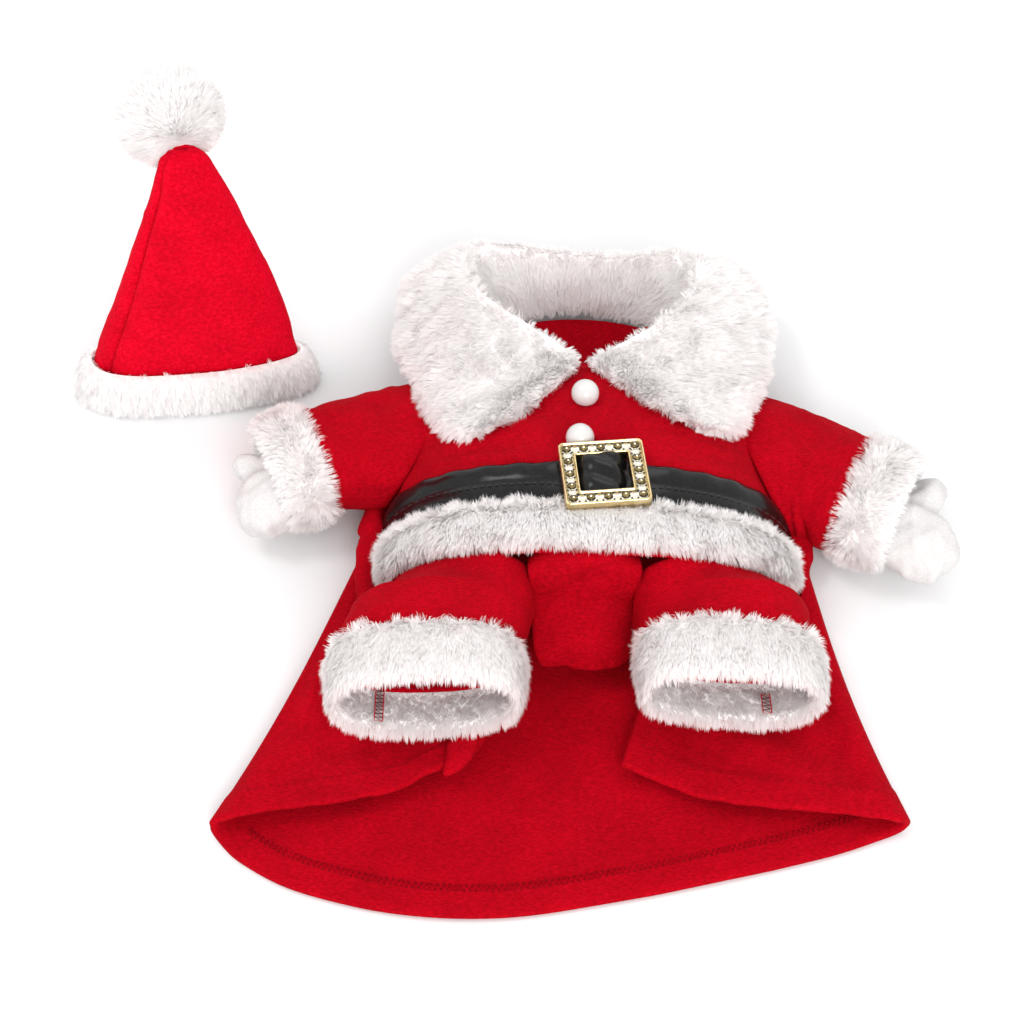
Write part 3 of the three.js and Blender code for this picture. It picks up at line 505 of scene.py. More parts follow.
FLEECE = fleece_look("fleece", (0.32, 0.0, 0.005), (0.42, 0.0, 0.007), (0.52, 0.001, 0.010), 0.02)
HAT_FLEECE = fleece_look("hat_fleece", (0.54, 0.0, 0.011), (0.68, 0.0, 0.015), (0.80, 0.003, 0.024), 0.03)
# The plush's first colour, at the hairs' roots, is darker as painted shade
PLUSH = fur_look("plush", (0.97, 0.945, 0.94), (0.995, 0.985, 0.98))
PLUSH_BASE = plain_look("plush_base", [(0.35, (0.92, 0.895, 0.89)), (0.65, (0.97, 0.96, 0.955))], 700, 0.9,
                        height=0.6, depth=0.0008, specular=0.1)
MITTEN = plain_look("mitten", [(0.35, (0.60, 0.58, 0.575)), (0.65, (0.70, 0.68, 0.675))], 1500, 0.85,
                    height=0.5, depth=0.0003, specular=0.15)
LEATHER = plain_look("belt", [(0.35, (0.004, 0.004, 0.0045)), (0.65, (0.009, 0.009, 0.0095))], 500, 0.22,
                     height=0.2, specular=0.25)
GOLD = plain_look("gold", [(0.35, (0.66, 0.50, 0.24)), (0.65, (0.82, 0.68, 0.40))], 300, 0.22, 1.0, 0.15)
BRIGHT_METAL = plain_look("bright_metal", [(0.35, (0.92, 0.86, 0.68)), (0.65, (0.98, 0.95, 0.86))], 400,
                          0.24, 1.0, 0.2)
STONE = plain_look("stone", [(0.42, (0.11, 0.075, 0.018)), (0.6, (0.36, 0.27, 0.10))], 900, 0.12, 0.6, 0.05,
                   0.0001, 0.3)
# A near-black finish for painted shade in the buckle's sockets and small holes
PIT_SHADE = plain_look("pit_shade", [(0.35, (0.012, 0.008, 0.003)), (0.65, (0.05, 0.034, 0.012))], 900, 0.5, 0.3, 0.2,
                 0.0001)
BUTTON = plain_look("button", [(0.3, (0.62, 0.595, 0.585)), (0.7, (0.68, 0.655, 0.645))], 120, 0.16,
                    height=0.04, coat=0.6)
RED_THREAD = plain_look("red_thread", [(0.3, (0.20, 0.0, 0.004)), (0.7, (0.32, 0.0, 0.008))], 3000, 0.8,
                        specular=0.1)
SEAM_THREAD = plain_look("seam_thread", [(0.3, (0.50, 0.0, 0.02)), (0.7, (0.70, 0.03, 0.05))], 3000, 0.7,
                         specular=0.15)
BLACK_THREAD = plain_look("black_thread", [(0.3, (0.01, 0.01, 0.01)), (0.7, (0.035, 0.035, 0.035))], 3000)


# Chest
def dome(turn, y, lift=0.0):
    angle = turn * math.pi
    floor = CLOTH + SEAM
    height = CHEST["height"] - 3.5 * ((y - 4) / 40) ** 2 + lift
    x = (CHEST["half"] + lift) * power(np.cos(angle), 2 / CHEST["square"])
    return vec(x, y, floor + (height - floor) * power(np.sin(angle), 2 / CHEST["square"]))


def dome_turn(x, lift=0.0):
    share = np.clip(x / (CHEST["half"] + lift), -1, 1)
    return np.arccos(power(share, CHEST["square"] / 2)) / math.pi


def dome_height(x, y, lift=0.0):
    return dome(dome_turn(np.abs(x), lift), y, lift)[..., 2]


def neck_ring(degrees, spare=0.0):
    angle = np.radians(degrees)
    slope = math.radians(NECK["slope"])
    up = (NECK["radius"] + spare) * np.sin(angle)
    x = NECK["x"] + (NECK["radius"] + spare) * np.cos(angle)
    return vec(x, NECK["y"] - up * math.cos(slope), NECK["z"] + up * math.sin(slope))


def belt_y(x):
    return BELT["y"] + BELT["bow"] * (x / CHEST["half"]) ** 2 + BELT["slope"] * (x / CHEST["half"])


def front_edge_y(x):
    return belt_y(x) - HEM_BELOW_BELT


def chest(turn, share, lift=0.0):
    straight = 0.62
    shoulder = dome(turn, np.full_like(turn, SHOULDER_Y), lift)
    side = dome(turn, 0.0, lift)[..., 0]
    low_part = dome(turn, mix(front_edge_y(side), SHOULDER_Y, np.minimum(share / straight, 1)), lift)
    t = np.clip((share - straight) / (1 - straight), 0, 1)[..., None]
    high_part = mix(shoulder, neck_ring(mix(NECK["side"], 180 - NECK["side"], turn), lift), t)
    return np.where(share[..., None] <= straight, low_part, high_part)


# Folds of the chest: from the armholes towards the belt
CHEST_FOLDS = [
    ((-62, 14), (-20, 4), 3.5, 1.4), ((-60, 22), (-30, 22), 4, 1.0), ((60, 10), (30, 2), 3.5, 1.3),
    ((58, 20), (26, 22), 4, 1.0), ((-30, 30), (-8, 14), 4, 0.8), ((30, 28), (10, 12), 4, 0.8),
]
v, u = field(64, 92)
chest_grid = chest(u, v)
chest_faces = quads(*chest_grid.shape[:2])
chest_tree = BVHTree.FromPolygons([Vector(p) for p in chest_grid.reshape(-1, 3)], chest_faces.tolist())
normal = normals_of(chest_grid)
soft = 0.7 * waves(chest_grid, 46, 3) + 0.25 * waves(chest_grid, 17, 4)
for a, b, wide, deep in CHEST_FOLDS:
    soft = soft + crease(chest_grid, a, b, wide, deep)
at_belt = np.exp(-((chest_grid[..., 1] - belt_y(chest_grid[..., 0])) / 9) ** 2)
away = -(np.abs(soft) * (1 - 0.8 * at_belt)) - 0.35
outer_sign = facing(normal, chest_grid - vec(0, 30, 0))
chest_cloth = chest_grid + normal * (away * outer_sign)[..., None]
bodice_front = shell("front_body", chest_cloth, FLEECE, side=-outer_sign)
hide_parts("bodice_front")


def back_point(turn, share):
    straight = 0.5
    side = -np.cos(turn * math.pi) * (CHEST["half"] + 0.6)
    t = np.clip((share - straight) / (1 - straight), 0, 1)
    neck = neck_ring(mix(182 - NECK["side"], 358 + NECK["side"], turn))
    middle = np.maximum(np.sin(turn * math.pi), 0) ** 0.7
    rise = neck[..., 2] - CLOTH - SEAM
    y = np.where(share <= straight, mix(BACK_WAIST_Y, SHOULDER_Y, share / straight),
                 mix(SHOULDER_Y, neck[..., 1], t))
    return vec(mix(side, neck[..., 0], t), y, mix(rise * t, rise * t**4, middle))


v, u = field(30, 40)
bodice_back = shell("back_body", back_point(u, v), FLEECE, side=1)
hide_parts("bodice_back")


def cloth_tube(name, tube, thick=CLOTH):
    """A tube of fleece whose grid is its outer side."""
    sign = facing(normals_of(tube, ring=True), tube - tube.mean(1, keepdims=True))
    return shell(name, tube, FLEECE, thick=thick, ring=True, side=-sign)


# Sleeves, cuffs and mittens
SLEEVES = {
    "left": table("x y z wide high turn", (-50, 42, 20.5, 30, 16.5, 180), (-66, 42, 20.5, 29, 16.5, 182),
                  (-80, 40, 20.5, 27.5, 16.5, 188), (-92, 37, 20.5, 25.5, 16.5, 196),
                  (-103, 33.5, 20.5, 24, 16.5, 202)),
    "right": table("x y z wide high turn", (50, 38, 20.5, 30, 16.5, 0), (66, 35, 20.5, 29, 16.5, -8),
                   (80, 28.5, 20.5, 28, 16.5, -17), (91, 22, 20.5, 27, 16.5, -23),
                   (101, 16.5, 20.5, 26, 16.5, -26)),
}
SLEEVE_SQUARE = 2.3
# Bends round a sleeve: where along it, how far it tilts, at which turn, how wide and how deep it is
SLEEVE_BENDS = [(0.3, 0.16, 0.6, 0.05, 0.7), (0.62, 0.2, 2.2, 0.06, 0.8), (0.85, 0.1, 4.0, 0.04, 0.5)]
CUFF = {"length": 18, "thick": 6.5, "lap": 4.2}
MITTENS = {
    "left": [
        table("x y z wide high", (-106, 30, 20.5, 12, 9), (-116, 21, 18.5, 15, 10.5),
              (-122, 11, 16.5, 13.5, 10), (-125, 3, 14.5, 8, 6.5)),
        table("x y z wide high", (-114, 30, 18, 7, 6.5), (-124, 30.5, 18.5, 7.2, 6.8),
              (-131, 31, 18.5, 6.6, 6.2), (-135.5, 31.5, 18, 3, 3)),
    ],
    "right": [
        table("x y z wide high", (106, 12, 20.5, 13, 9), (118, 1, 18, 16, 10.5),
              (127, -8, 16, 15, 10), (133, -15.5, 14.5, 8.5, 6.5)),
        table("x y z wide high", (115, 11, 18, 7.5, 6.8), (126, 15, 18.5, 7.6, 6.8),
              (134, 18, 18.5, 6.8, 6.2), (139, 19.5, 18, 3.2, 3)),
    ],
}


def arm_ring(rows, share, around, spare=0.0, beyond=0.0):
    x, y, z, wide, tall, turn = columns_of(rows, "x y z wide high turn", share)
    turn = np.radians(turn)
    side, up = oval(wide + spare, tall + spare, around, SLEEVE_SQUARE)
    x = x - side * np.sin(turn) + beyond * np.cos(turn)
    y = y + side * np.cos(turn) + beyond * np.sin(turn)
    return vec(x, y, z + up)


def inside_chest(p):
    hit = chest_tree.ray_cast(Vector(p), Vector((0, 0, 1)))
    return hit[0] is not None


def seam_share(rows, around):
    """Where along the sleeve each of its lines leaves the chest."""
    starts = []
    for turn in around:
        line = np.linspace(0, 1, 26)
        inside = [inside_chest(p) for p in arm_ring(rows, line, np.full(26, turn))]
        last = max((k for k, held in enumerate(inside) if held), default=0)
        near, far = line[last], line[min(last + 1, 25)]
        for _ in range(7):
            half = (near + far) / 2
            held = inside_chest(arm_ring(rows, np.array([half]), np.array([turn]))[0])
            near, far = (half, far) if held else (near, half)
        starts.append(far)
    starts = np.array(starts)
    smooth = np.stack([np.roll(starts, k) for k in (-2, -1, 0, 1, 2)]).mean(0)
    return np.maximum(starts, smooth)


def stuffed(rows, rings=40, sides=28):
    share, around = field(rings, sides, ring=True)
    centre = vec(*columns_of(rows, "x y z", share))
    ahead = unit(np.gradient(centre, axis=0))
    across = unit(np.cross(vec(0, 0, 1), ahead))
    up = np.cross(ahead, across)
    side = (column(rows["wide"], share) * np.cos(around * 2 * math.pi))[..., None]
    rise = (column(rows["high"], share) * np.sin(around * 2 * math.pi))[..., None]
    return centre + across * side + up * rise


def remeshed(name, parts, voxel, look):
    """One soft skin round several closed forms."""
    points, faces, first = [], [], 0
    for sections in parts:
        form, sides = capped(sections, first)
        points.append(form)
        faces += sides
        first += len(form)
    piece = mesh_object(name, np.concatenate(points), faces, look)
    remesh = piece.modifiers.new("skin", "REMESH")
    remesh.mode = "VOXEL"
    remesh.voxel_size = voxel / 1000
    remesh.use_smooth_shade = True
    relax = piece.modifiers.new("relax", "SMOOTH")
    relax.iterations = 14
    relax.factor = 0.6
    graph = bpy.context.evaluated_depsgraph_get()
    mesh = bpy.data.meshes.new_from_object(piece.evaluated_get(graph))
    piece.modifiers.clear()
    piece.data = mesh
    return piece


def points_of(piece):
    co = np.empty(len(piece.data.vertices) * 3, np.float32)
    piece.data.vertices.foreach_get("co", co)
    return co.reshape(-1, 3).astype(float) * 1000 - SHIFT


def normals_at(piece):
    n = np.empty(len(piece.data.vertices) * 3, np.float32)
    piece.data.vertices.foreach_get("normal", n)
    return n.reshape(-1, 3).astype(float)


def move_points(piece, points):
    piece.data.vertices.foreach_set("co", ((points + SHIFT) / 1000).astype(np.float32).ravel())
    piece.data.update()


def plush_band(place, thick, span, count_along=64, count_around=40):
    """A closed band round a limb: place(way, out, around) gives its points, and the combing runs along it."""
    way = np.array([0.0, 0.06, 0.2, 0.5, 0.8, 0.95, 1.0, 0.94, 0.75, 0.5, 0.25, 0.06])
    out = np.array([0.1, 0.45, 0.62, 0.68, 0.62, 0.5, 0.2, 0.0, -0.08, -0.1, -0.08, 0.0])
    share, around = field(count_around, count_along, ring=True)
    count = len(way)
    spot = share * count * (count_around - 1) / count_around
    i = np.floor(spot).astype(int)
    t = spot - i

    def closed(values):
        a, b, c, d = (values[(i + k) % count] for k in (-1, 0, 1, 2))
        return spline(a, b, c, d, t)

    return place(closed(way) * span, closed(out) * thick, around), closed(way), closed(out)


# How the plush of the leg cuffs and the trim grows
SHORT_PLUSH = {"tuft": 18, "stray": 0.2, "rise": 0.6, "lean": 1.2}


def plush_cuff(name, band, out, curved, fine, hair, comb, seed, **how):
    """A cuff's base and its fur, which grows away from the middle of the limb."""
    base = sealed(f"{name}_base", band, PLUSH_BASE, loop=True)
    normal = normals_of(band, ring=True, loop=True)
    normal = normal * facing(normal, band - band.mean(axis=1, keepdims=True), out > 0.5)
    fur(f"{name}_fur", band, curved, fine, hair, comb, seed, normal, loop=True, **how)
    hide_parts(name)


for side, rows in SLEEVES.items():
    around = np.linspace(0, 1, 76, endpoint=False)
    start = seam_share(rows, around)
    share, turn = field(44, 76, ring=True)
    along = mix(start[None, :], 1.0, share)
    tube = arm_ring(rows, along, turn)
    push = 0.75 * waves(tube, 30, 21) + 0.35 * waves(tube, 12, 22)
    root_dip = 1.2 * np.exp(-share / 0.06)
    angle = turn * 2 * math.pi
    fold = 1.4 * np.exp(-((share - 0.45 - 0.25 * np.sin(angle)) / 0.12) ** 2) * (np.cos(angle) < 0)
    bends = sum(d * np.exp(-((share - at - tilt * np.sin(angle + twist)) / w) ** 2)
                for at, tilt, twist, w, d in SLEEVE_BENDS)
    depth = np.abs(push) * ease(share / 0.2) + root_dip + fold + bends * (np.cos(angle) < 0.6)
    tube = arm_ring(rows, along, turn, -depth)
    sleeve = cloth_tube(f"sleeve_{side}_cloth", tube)
    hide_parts(f"sleeve_{side}")

    def place(way, out, turn):
        return arm_ring(rows, np.ones_like(turn), turn, out - CUFF["lap"], way)

    band, way, out = plush_band(place, CUFF["thick"], CUFF["length"], 80, 36)
    end = math.radians(rows["turn"][-1])
    comb = np.broadcast_to(vec(math.cos(end), math.sin(end), -0.15), band.shape) * (way[..., None] - 0.35) * 2
    plush_cuff(f"cuff_{side}", band, out, 8500, 15000, np.where(out > 0.05, 4.6, 1.8), comb, 31,
               density=np.where(out > 0.05, 1.0, 0.15), tuft=15, stray=0.26)

    mitten = remeshed(f"mitten_{side}_skin", [stuffed(part) for part in MITTENS[side]], 1.1, MITTEN)
    p = points_of(mitten)
    ripple = 0.8 * waves(p, 13, 41) + 0.35 * waves(p, 6, 42) - 0.5
    move_points(mitten, p + normals_at(mitten) * ripple[:, None])
    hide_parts(f"mitten_{side}")

# Skirt
SKIRT = table(
    "x y z hem_x hem_y hem_z",
    (-31, -39.5, 8.4, -46, -95, 11.5), (-40, -39.5, 8.4, -56, -99, 9.2), (-50, -39.5, 8.4, -69, -106, 8.6),
    (-62, -39.5, 8.4, -85, -110, 9.4), (-75, -38, 8.4, -104, -112.5, 10.6),
    (-83.5, -26, 9.5, -119, -116, 10.2),
    (-84, -8, 10.5, -127.5, -116.5, 7), (-81, 5, 8.5, -128.6, -117.5, 4.4), (-82, 4, 3.4, -127, -120, 1.6),
    (-80, -11, 1.1, -118, -128.5, 1.1), (-60, -10.5, 1.1, -98, -139, 1.1), (-36, -10.5, 1.1, -65, -147, 1.1),
    (-12, -10.5, 1.1, -32, -148.4, 1.1), (12, -10.5, 1.1, 4, -143, 1.1), (36, -10.5, 1.1, 42, -135, 1.1),
    (60, -10.5, 1.1, 78, -126, 1.1), (80, -11, 1.1, 98, -119, 1.1), (81.5, -3, 3.4, 104.5, -116.5, 3),
    (81, -2.5, 8.5, 104.5, -116, 6.5), (80, -14, 10.5, 101, -117.5, 9.8), (77.5, -29, 9.5, 91, -116, 10.6),
    (69, -38, 8.4, 78, -114, 10), (59, -39.5, 8.4, 58, -112, 9.2), (49, -39.5, 8.4, 38, -108.5, 8.8),
    (39, -39.5, 8.4, 23, -102, 8.6), (28, -39.5, 8.4, 10, -95.3, 8.6),
)
SKIRT_HALF_WIDTH = 105
SKIRT_BEND = {"left": 2.5, "right": 4}


def skirt_point(turn, share):
    waist = vec(*columns_of(SKIRT, "x y z", turn))
    hem = vec(*columns_of(SKIRT, "hem_x hem_y hem_z", turn))
    p = mix(waist, hem, share[..., None])
    reach = p[..., 0] / SKIRT_HALF_WIDTH
    bend = np.where(reach < 0, SKIRT_BEND["left"], SKIRT_BEND["right"])
    p[..., 0] -= np.sign(reach) * bend * reach**2 * np.sin(share * math.pi)
    p[..., 2] = np.maximum(p[..., 2], CLOTH / 2)
    return p


# Folds of the front flaps: where each starts and ends, how wide and how deep it is
SKIRT_FOLDS = [
    ((-86, -2), (-112, -86), 4.5, 2.2), ((-78, -30), (-92, -84), 5, 1.8), ((-58, -60), (-70, -104), 6, 1.2),
    ((83, -8), (97, -84), 4.5, 2.2), ((74, -34), (84, -100), 5, 1.6), ((50, -70), (88, -98), 6, 1.4),
    ((30, -84), (66, -104), 5, 0.9), ((-96, -92), (-60, -88), 5, 1.0),
]
SKIRT_ROWS = 56
SKIRT_COLUMNS = 250
SKIRT_HEM = 11
SKIRT_FACING = 9
v, u = field(SKIRT_ROWS, SKIRT_COLUMNS)
skirt_grid = skirt_point(u, v)
plain_normal = normals_of(skirt_grid)
off_side = ease((np.minimum(np.abs(u - 0.30), np.abs(u - 0.70)) - 0.045) / 0.06)
upper = ease((skirt_grid[..., 2] - 5) / 3) * off_side
lift = 0.8 * waves(skirt_grid * [1, 0.35, 1], 26, 51) + 0.3 * waves(skirt_grid, 11, 52)
for a, b, wide, deep in SKIRT_FOLDS:
    lift = lift - crease(skirt_grid, a, b, wide, deep)
skirt_grid[..., 2] += upper * lift + (1 - upper) * 0.3 * off_side * np.abs(waves(skirt_grid, 40, 53))
normal = unit(mix(plain_normal, normals_of(skirt_grid), off_side[..., None]))
skirt_grid[..., 2] = np.maximum(skirt_grid[..., 2], CLOTH / 2 + 0.02)
length = np.linalg.norm(skirt_grid[-1] - skirt_grid[0], axis=-1)[None, :]
turned = ease((SKIRT_HEM - (1 - v) * length) / 1.2 + 0.5)
from_edge = np.minimum(np.linalg.norm(skirt_grid - skirt_grid[:, :1], axis=-1),
                       np.linalg.norm(skirt_grid - skirt_grid[:, -1:], axis=-1))
turned = np.maximum(turned, ease((SKIRT_FACING - from_edge) / 1.2 + 0.5))
thick = CLOTH + 0.9 * turned
top = skirt_grid + normal * (thick / 2)[..., None]
skirt = shell("skirt_cloth", top, FLEECE, thick=thick, side=-1)
p = points_of(skirt)
p[:, 2] = np.maximum(p[:, 2], 0.0)
move_points(skirt, p)
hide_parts("skirt")


def skirt_line(first, last, from_hem, lift_by):
    """A line on the skirt's visible side, a distance from its hem."""
    turn = np.linspace(first, last, 400)
    hem = skirt_point(turn, np.ones(400))
    waist = skirt_point(turn, np.zeros(400))
    share = 1 - from_hem / np.linalg.norm(hem - waist, axis=-1)
    spots = (share * (SKIRT_ROWS - 1)).round().astype(int), (turn * (SKIRT_COLUMNS - 1)).round().astype(int)
    line = skirt_point(turn, share)
    line[:, 2] = np.maximum(top[spots][:, 2], (top - normal * thick[..., None])[spots][:, 2]) + lift_by
    smooth = np.convolve(np.pad(line[:, 2], 3, mode="edge"), np.ones(7) / 7, mode="valid")
    line[:, 2] = smooth
    return line


inside_rows = [skirt_line(0.352, 0.655, d, 0.12) for d in (SKIRT_HEM - 2.4, SKIRT_HEM - 0.2)]
threads = dashes(inside_rows[0], 2.4) + dashes(inside_rows[1], 2.4) + [zigzag(*inside_rows, 1.9)]
for first, last in ((0.01, 0.24), (0.76, 0.99)):
    threads += dashes(skirt_line(first, last, SKIRT_HEM - 1.2, 0.08), 2.6)
facing_column = int(np.argmin(np.abs(from_edge[50, 200:] - SKIRT_FACING))) + 200
over_cloth = skirt_grid + normal * np.sign(normal[..., 2:]) * (thick[..., None] / 2 + 0.08)
threads += dashes(over_cloth[8:-2, facing_column], 2.6)
tubes("skirt_stitches", threads, 0.17, RED_THREAD, sides=4)


def soft_roll(name, path, radius, squash=0.8, seed=1):
    """A fold of cloth that closes on itself, as gathered cloth beside a seam does."""
    share, around = field(36, 26, ring=True)
    centre = vec(*(column(np.array(path, float)[:, k], share) for k in range(3)))
    ahead = unit(np.gradient(centre, axis=0))
    across = unit(np.cross(vec(0, 0, 1), ahead))
    up = np.cross(ahead, across)
    wide = column(np.array(radius, float), share) * (1 + 0.10 * np.cos(around * 6 * math.pi + share * 9))
    wide = wide * (1 + 0.06 * waves(centre + across * 4, 7, seed))
    turn = around * 2 * math.pi
    roll = centre + across * (wide * np.cos(turn))[..., None] + up * (wide * squash * np.sin(turn))[..., None]
    return sealed(name, roll, FLEECE)


gather_left = soft_roll("side_gather_left", [
    (-76, 24, 13), (-80, 17, 12.5), (-81, 9, 12.5), (-80.5, 1, 12.5), (-82, -9, 12), (-82, -20, 12),
    (-80, -30, 13), (-77, -40, 14),
], [0.8, 3.4, 4.6, 5, 4.6, 4.6, 4.4, 1.6], seed=3)
gather_right = soft_roll("side_gather_right", [
    (68, 9, 21), (74, 10.5, 18.5), (79, 6, 14.5), (80.5, -2, 12), (79.5, -10, 11), (82, -20, 9.5),
], [0.8, 3.4, 4.4, 4.8, 4.2, 1.2], seed=5)
curl_left = soft_roll("flap_curl_left", [
    (-42, -82, 12.5), (-44, -89, 12.8), (-47.5, -96, 12.2), (-51, -101, 10.8),
], [5.2, 5.6, 4, 0.8], seed=7)

# Legs and their plush cuffs
LEGS = {
    "left": table("y inner outer low top roll", (0, -20, -70, 11.9, 50, 0), (-46, -20, -82, 11.9, 51, 0),
                  (-56, -22, -86.5, 13, 52, 1), (-65, -25.5, -89, 17, 52, 3)),
    "right": table("y inner outer low top roll", (0, 15, 69, 11.9, 50, 0), (-46, 14.5, 75, 11.9, 50, 0),
                   (-56, 14, 76, 13, 49.5, -1), (-62, 16, 76.5, 18.5, 49.5, -6)),
}
LEG_SQUARE = 2.5
LINING = {"inside": 1.9, "above": 6, "below": 9, "thick": 0.8}
LEG_SEAM = {"left": 0.655, "right": 0.83}
LEG_CUFF = {"length": 22, "lap": 2.2, "thick": 5.2}


def leg_outline(rows, share, around, spare):
    inner, outer, low, top, roll = columns_of(rows, "inner outer low top roll", share)
    side, up = oval(np.abs(outer - inner) / 2 + spare, (top - low) / 2 + spare, around, LEG_SQUARE)
    roll = np.radians(roll)
    x = (inner + outer) / 2 + side * np.cos(roll) - up * np.sin(roll)
    return x, (top + low) / 2 + side * np.sin(roll) + up * np.cos(roll)


def leg_point(rows, share, around, spare):
    x, z = leg_outline(rows, share, around, spare)
    late = {**rows, "y": rows["y"][1:]}
    reach = column(late["y"], np.maximum((share - 1 / 3) * 1.5, 0))
    away = np.minimum(share * 3, 1)
    y = mix(front_edge_y(x) - SEAM, reach, away)
    z = mix(np.minimum(z, dome_height(x, y, spare)), z, away)
    return vec(x, y, z)


for side, rows in LEGS.items():
    share, around = field(42, 88, ring=True)
    tube = leg_point(rows, share, around, 0.0)
    push = np.abs(0.8 * waves(tube, 26, 61) + 0.3 * waves(tube, 11, 62)) * ease(share / 0.15)
    tube = leg_point(rows, share, around, -push)
    leg = cloth_tube(f"leg_{side}_cloth", tube)
    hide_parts(f"leg_{side}")

    def place(way, out, turn):
        x, z = leg_outline(rows, np.ones_like(turn), turn, out - LEG_CUFF["lap"])
        return vec(x, rows["y"][-1] - SEAM - way, z)

    band, way, out = plush_band(place, LEG_CUFF["thick"], LEG_CUFF["length"], 110, 40)
    comb = np.broadcast_to(vec(0, -1, -0.1), band.shape) * np.where(out > 0.05, 0.35 + way, 0.5)[..., None]
    hair = np.where(out > 0.05, mix(4.4, 4.8, way), np.where(way > 0.5, 3.4, 1.8))
    density = np.where((out > 0.05) | (way > 0.5), 1.0, 0.45)
    plush_cuff(f"leg_cuff_{side}", band, out, 15000, 26000, hair, comb, 71, density=density, **SHORT_PLUSH)
    deep, around = field(10, 88, ring=True)
    x, z = leg_outline(rows, np.ones_like(around), around, -LEG_CUFF["lap"] - LINING["inside"])
    lining = vec(x, rows["y"][-1] + LINING["above"] - deep * (LINING["above"] + LINING["below"]), z)
    lining = cloth_tube(f"leg_lining_{side}", lining, LINING["thick"])
    turn_at = LEG_SEAM[side]
    rim = rows["y"][-1] - SEAM - LEG_CUFF["length"]
    lines = []
    for offset in (-0.011, 0.011):
        back = np.linspace(0, 17 if side == "left" else 8, 24)
        x, z = leg_outline(rows, np.ones(24), np.full(24, turn_at + offset), -LEG_CUFF["lap"] - 2.8)
        lines.append(vec(x, rim + 0.5 + back, z))
    tubes(f"leg_cuff_{side}_stitches", [zigzag(*lines, 1.5), lines[0], lines[1]], 0.22, SEAM_THREAD, sides=4)

# Belly panel
BELLY = table("y z half", (-33.5, 50.0, 18), (-38.6, 48.4, 18.8), (-40.4, 40, 18.2), (-42.5, 31, 17.4),
              (-48, 25.5, 17.3), (-55, 20, 17), (-57.5, 13, 14.5))
BELLY_X = -2.6
BELLY_DROOP = {"edge": 3.5, "corner": 6.5}
v, u = field(32, 32)
across = mix(-1, 1, u)
y, z, half = columns_of(BELLY, "y z half", v)
edge_droop = BELLY_DROOP["edge"] * across**2 * v
corner_droop = BELLY_DROOP["corner"] * np.abs(across) ** 3 * (1 - v)
belly_grid = vec(BELLY_X + across * half, y + edge_droop, z - corner_droop)
push = 0.9 * waves(belly_grid, 20, 65) + 0.35 * waves(belly_grid, 9, 66)
belly_grid[..., 1] += push * np.minimum(v * 3, 1)
belly = shell("belly_cloth", belly_grid, FLEECE, side=-1)
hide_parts("belly")


# Belt
BELT_ROWS = 19
BELT_COLUMNS = 220


def outward_of(turn):
    return vec(np.cos(turn * math.pi), 0, np.sin(turn * math.pi))


def belt_point(turn, across, lift):
    foot = dome(turn, 0.0)[..., 0]
    near = np.abs(foot - BUCKLE["x"] - PIN["aside"]) / PIN["reach"]
    hump = (PIN["hump"] + BUCKLE["lift"]) * ease((1 - near) * 1.5)
    half = BELT["width"] / 2 + PIN["spread"] * ease(1.6 - near)
    hump = hump * (1 - 0.7 * np.abs(across) ** 6)
    return dome(turn, belt_y(foot) + across * half) + outward_of(turn) * (lift + hump)[..., None]


v, u = field(BELT_ROWS, BELT_COLUMNS)
turn = mix(BELT["end"], 1 - BELT["end"], u)
across = mix(-1, 1, v)
foot = dome(turn, 0.0)[..., 0]
hump_near = np.abs(foot - BUCKLE["x"]) / PIN["reach"]
flat = 1 - ease(1 - np.maximum(hump_near - 0.9, 0) / 1.2)
ridge = 0.05 + 0.05 * waves(vec(foot, 0, 0), 50, 82)
upper_band = 1.25 * np.sin(np.clip((across - ridge) / (1 - ridge), 0, 1) * math.pi) ** 0.6
lower_band = 0.85 * np.sin(np.clip((ridge - across) / (1 + ridge), 0, 1) * math.pi) ** 0.7
bands = np.where(across > ridge, upper_band, lower_band)
pucker = 0.3 * np.sin(foot * 0.5 + 2 * waves(vec(foot, 0, 0), 40, 81)) * np.maximum(across, 0)
pleats = (1.3 * np.abs(np.sin((across * 1.3 + 0.25 + 0.05 * (foot - BUCKLE["x"])) * math.pi))
          * ease(1.2 - hump_near) * (1 - np.clip(flat, 0, 1)))
relief = (bands * 0.75 + pucker) * np.clip(flat, 0.0, 1)
belt_top = belt_point(turn, across, SEAM + BELT["thick"] * 0.55 + relief + pleats)
under = belt_point(turn, across, SEAM + 0 * u)
count = BELT_ROWS * BELT_COLUMNS
last = count - BELT_COLUMNS
k = np.arange(BELT_COLUMNS - 1)
belt = mesh_object("belt_strap", np.concatenate([belt_top.reshape(-1, 3), under.reshape(-1, 3)]), [
    quads(BELT_ROWS, BELT_COLUMNS), quads(BELT_ROWS, BELT_COLUMNS, first=count)[:, ::-1],
    np.stack([k + count, k + count + 1, k + 1, k], -1),
    np.stack([last + k, last + k + 1, last + count + k + 1, last + count + k], -1),
], LEATHER)
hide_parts("belt")
stitches = []
for x in np.arange(-70, 71, 2.6):
    if abs(x - BUCKLE["x"]) < BUCKLE["width"] / 2 + 1:
        continue
    line = np.linspace(x, x + 1.8, 5)
    arch = 0.25 * np.sin(np.linspace(0, math.pi, 5))
    stitches.append(belt_point(dome_turn(line), np.full(5, -0.16), SEAM + BELT["thick"] + 0.16 + arch))
tubes("belt_stitches", stitches, 0.17, BLACK_THREAD)

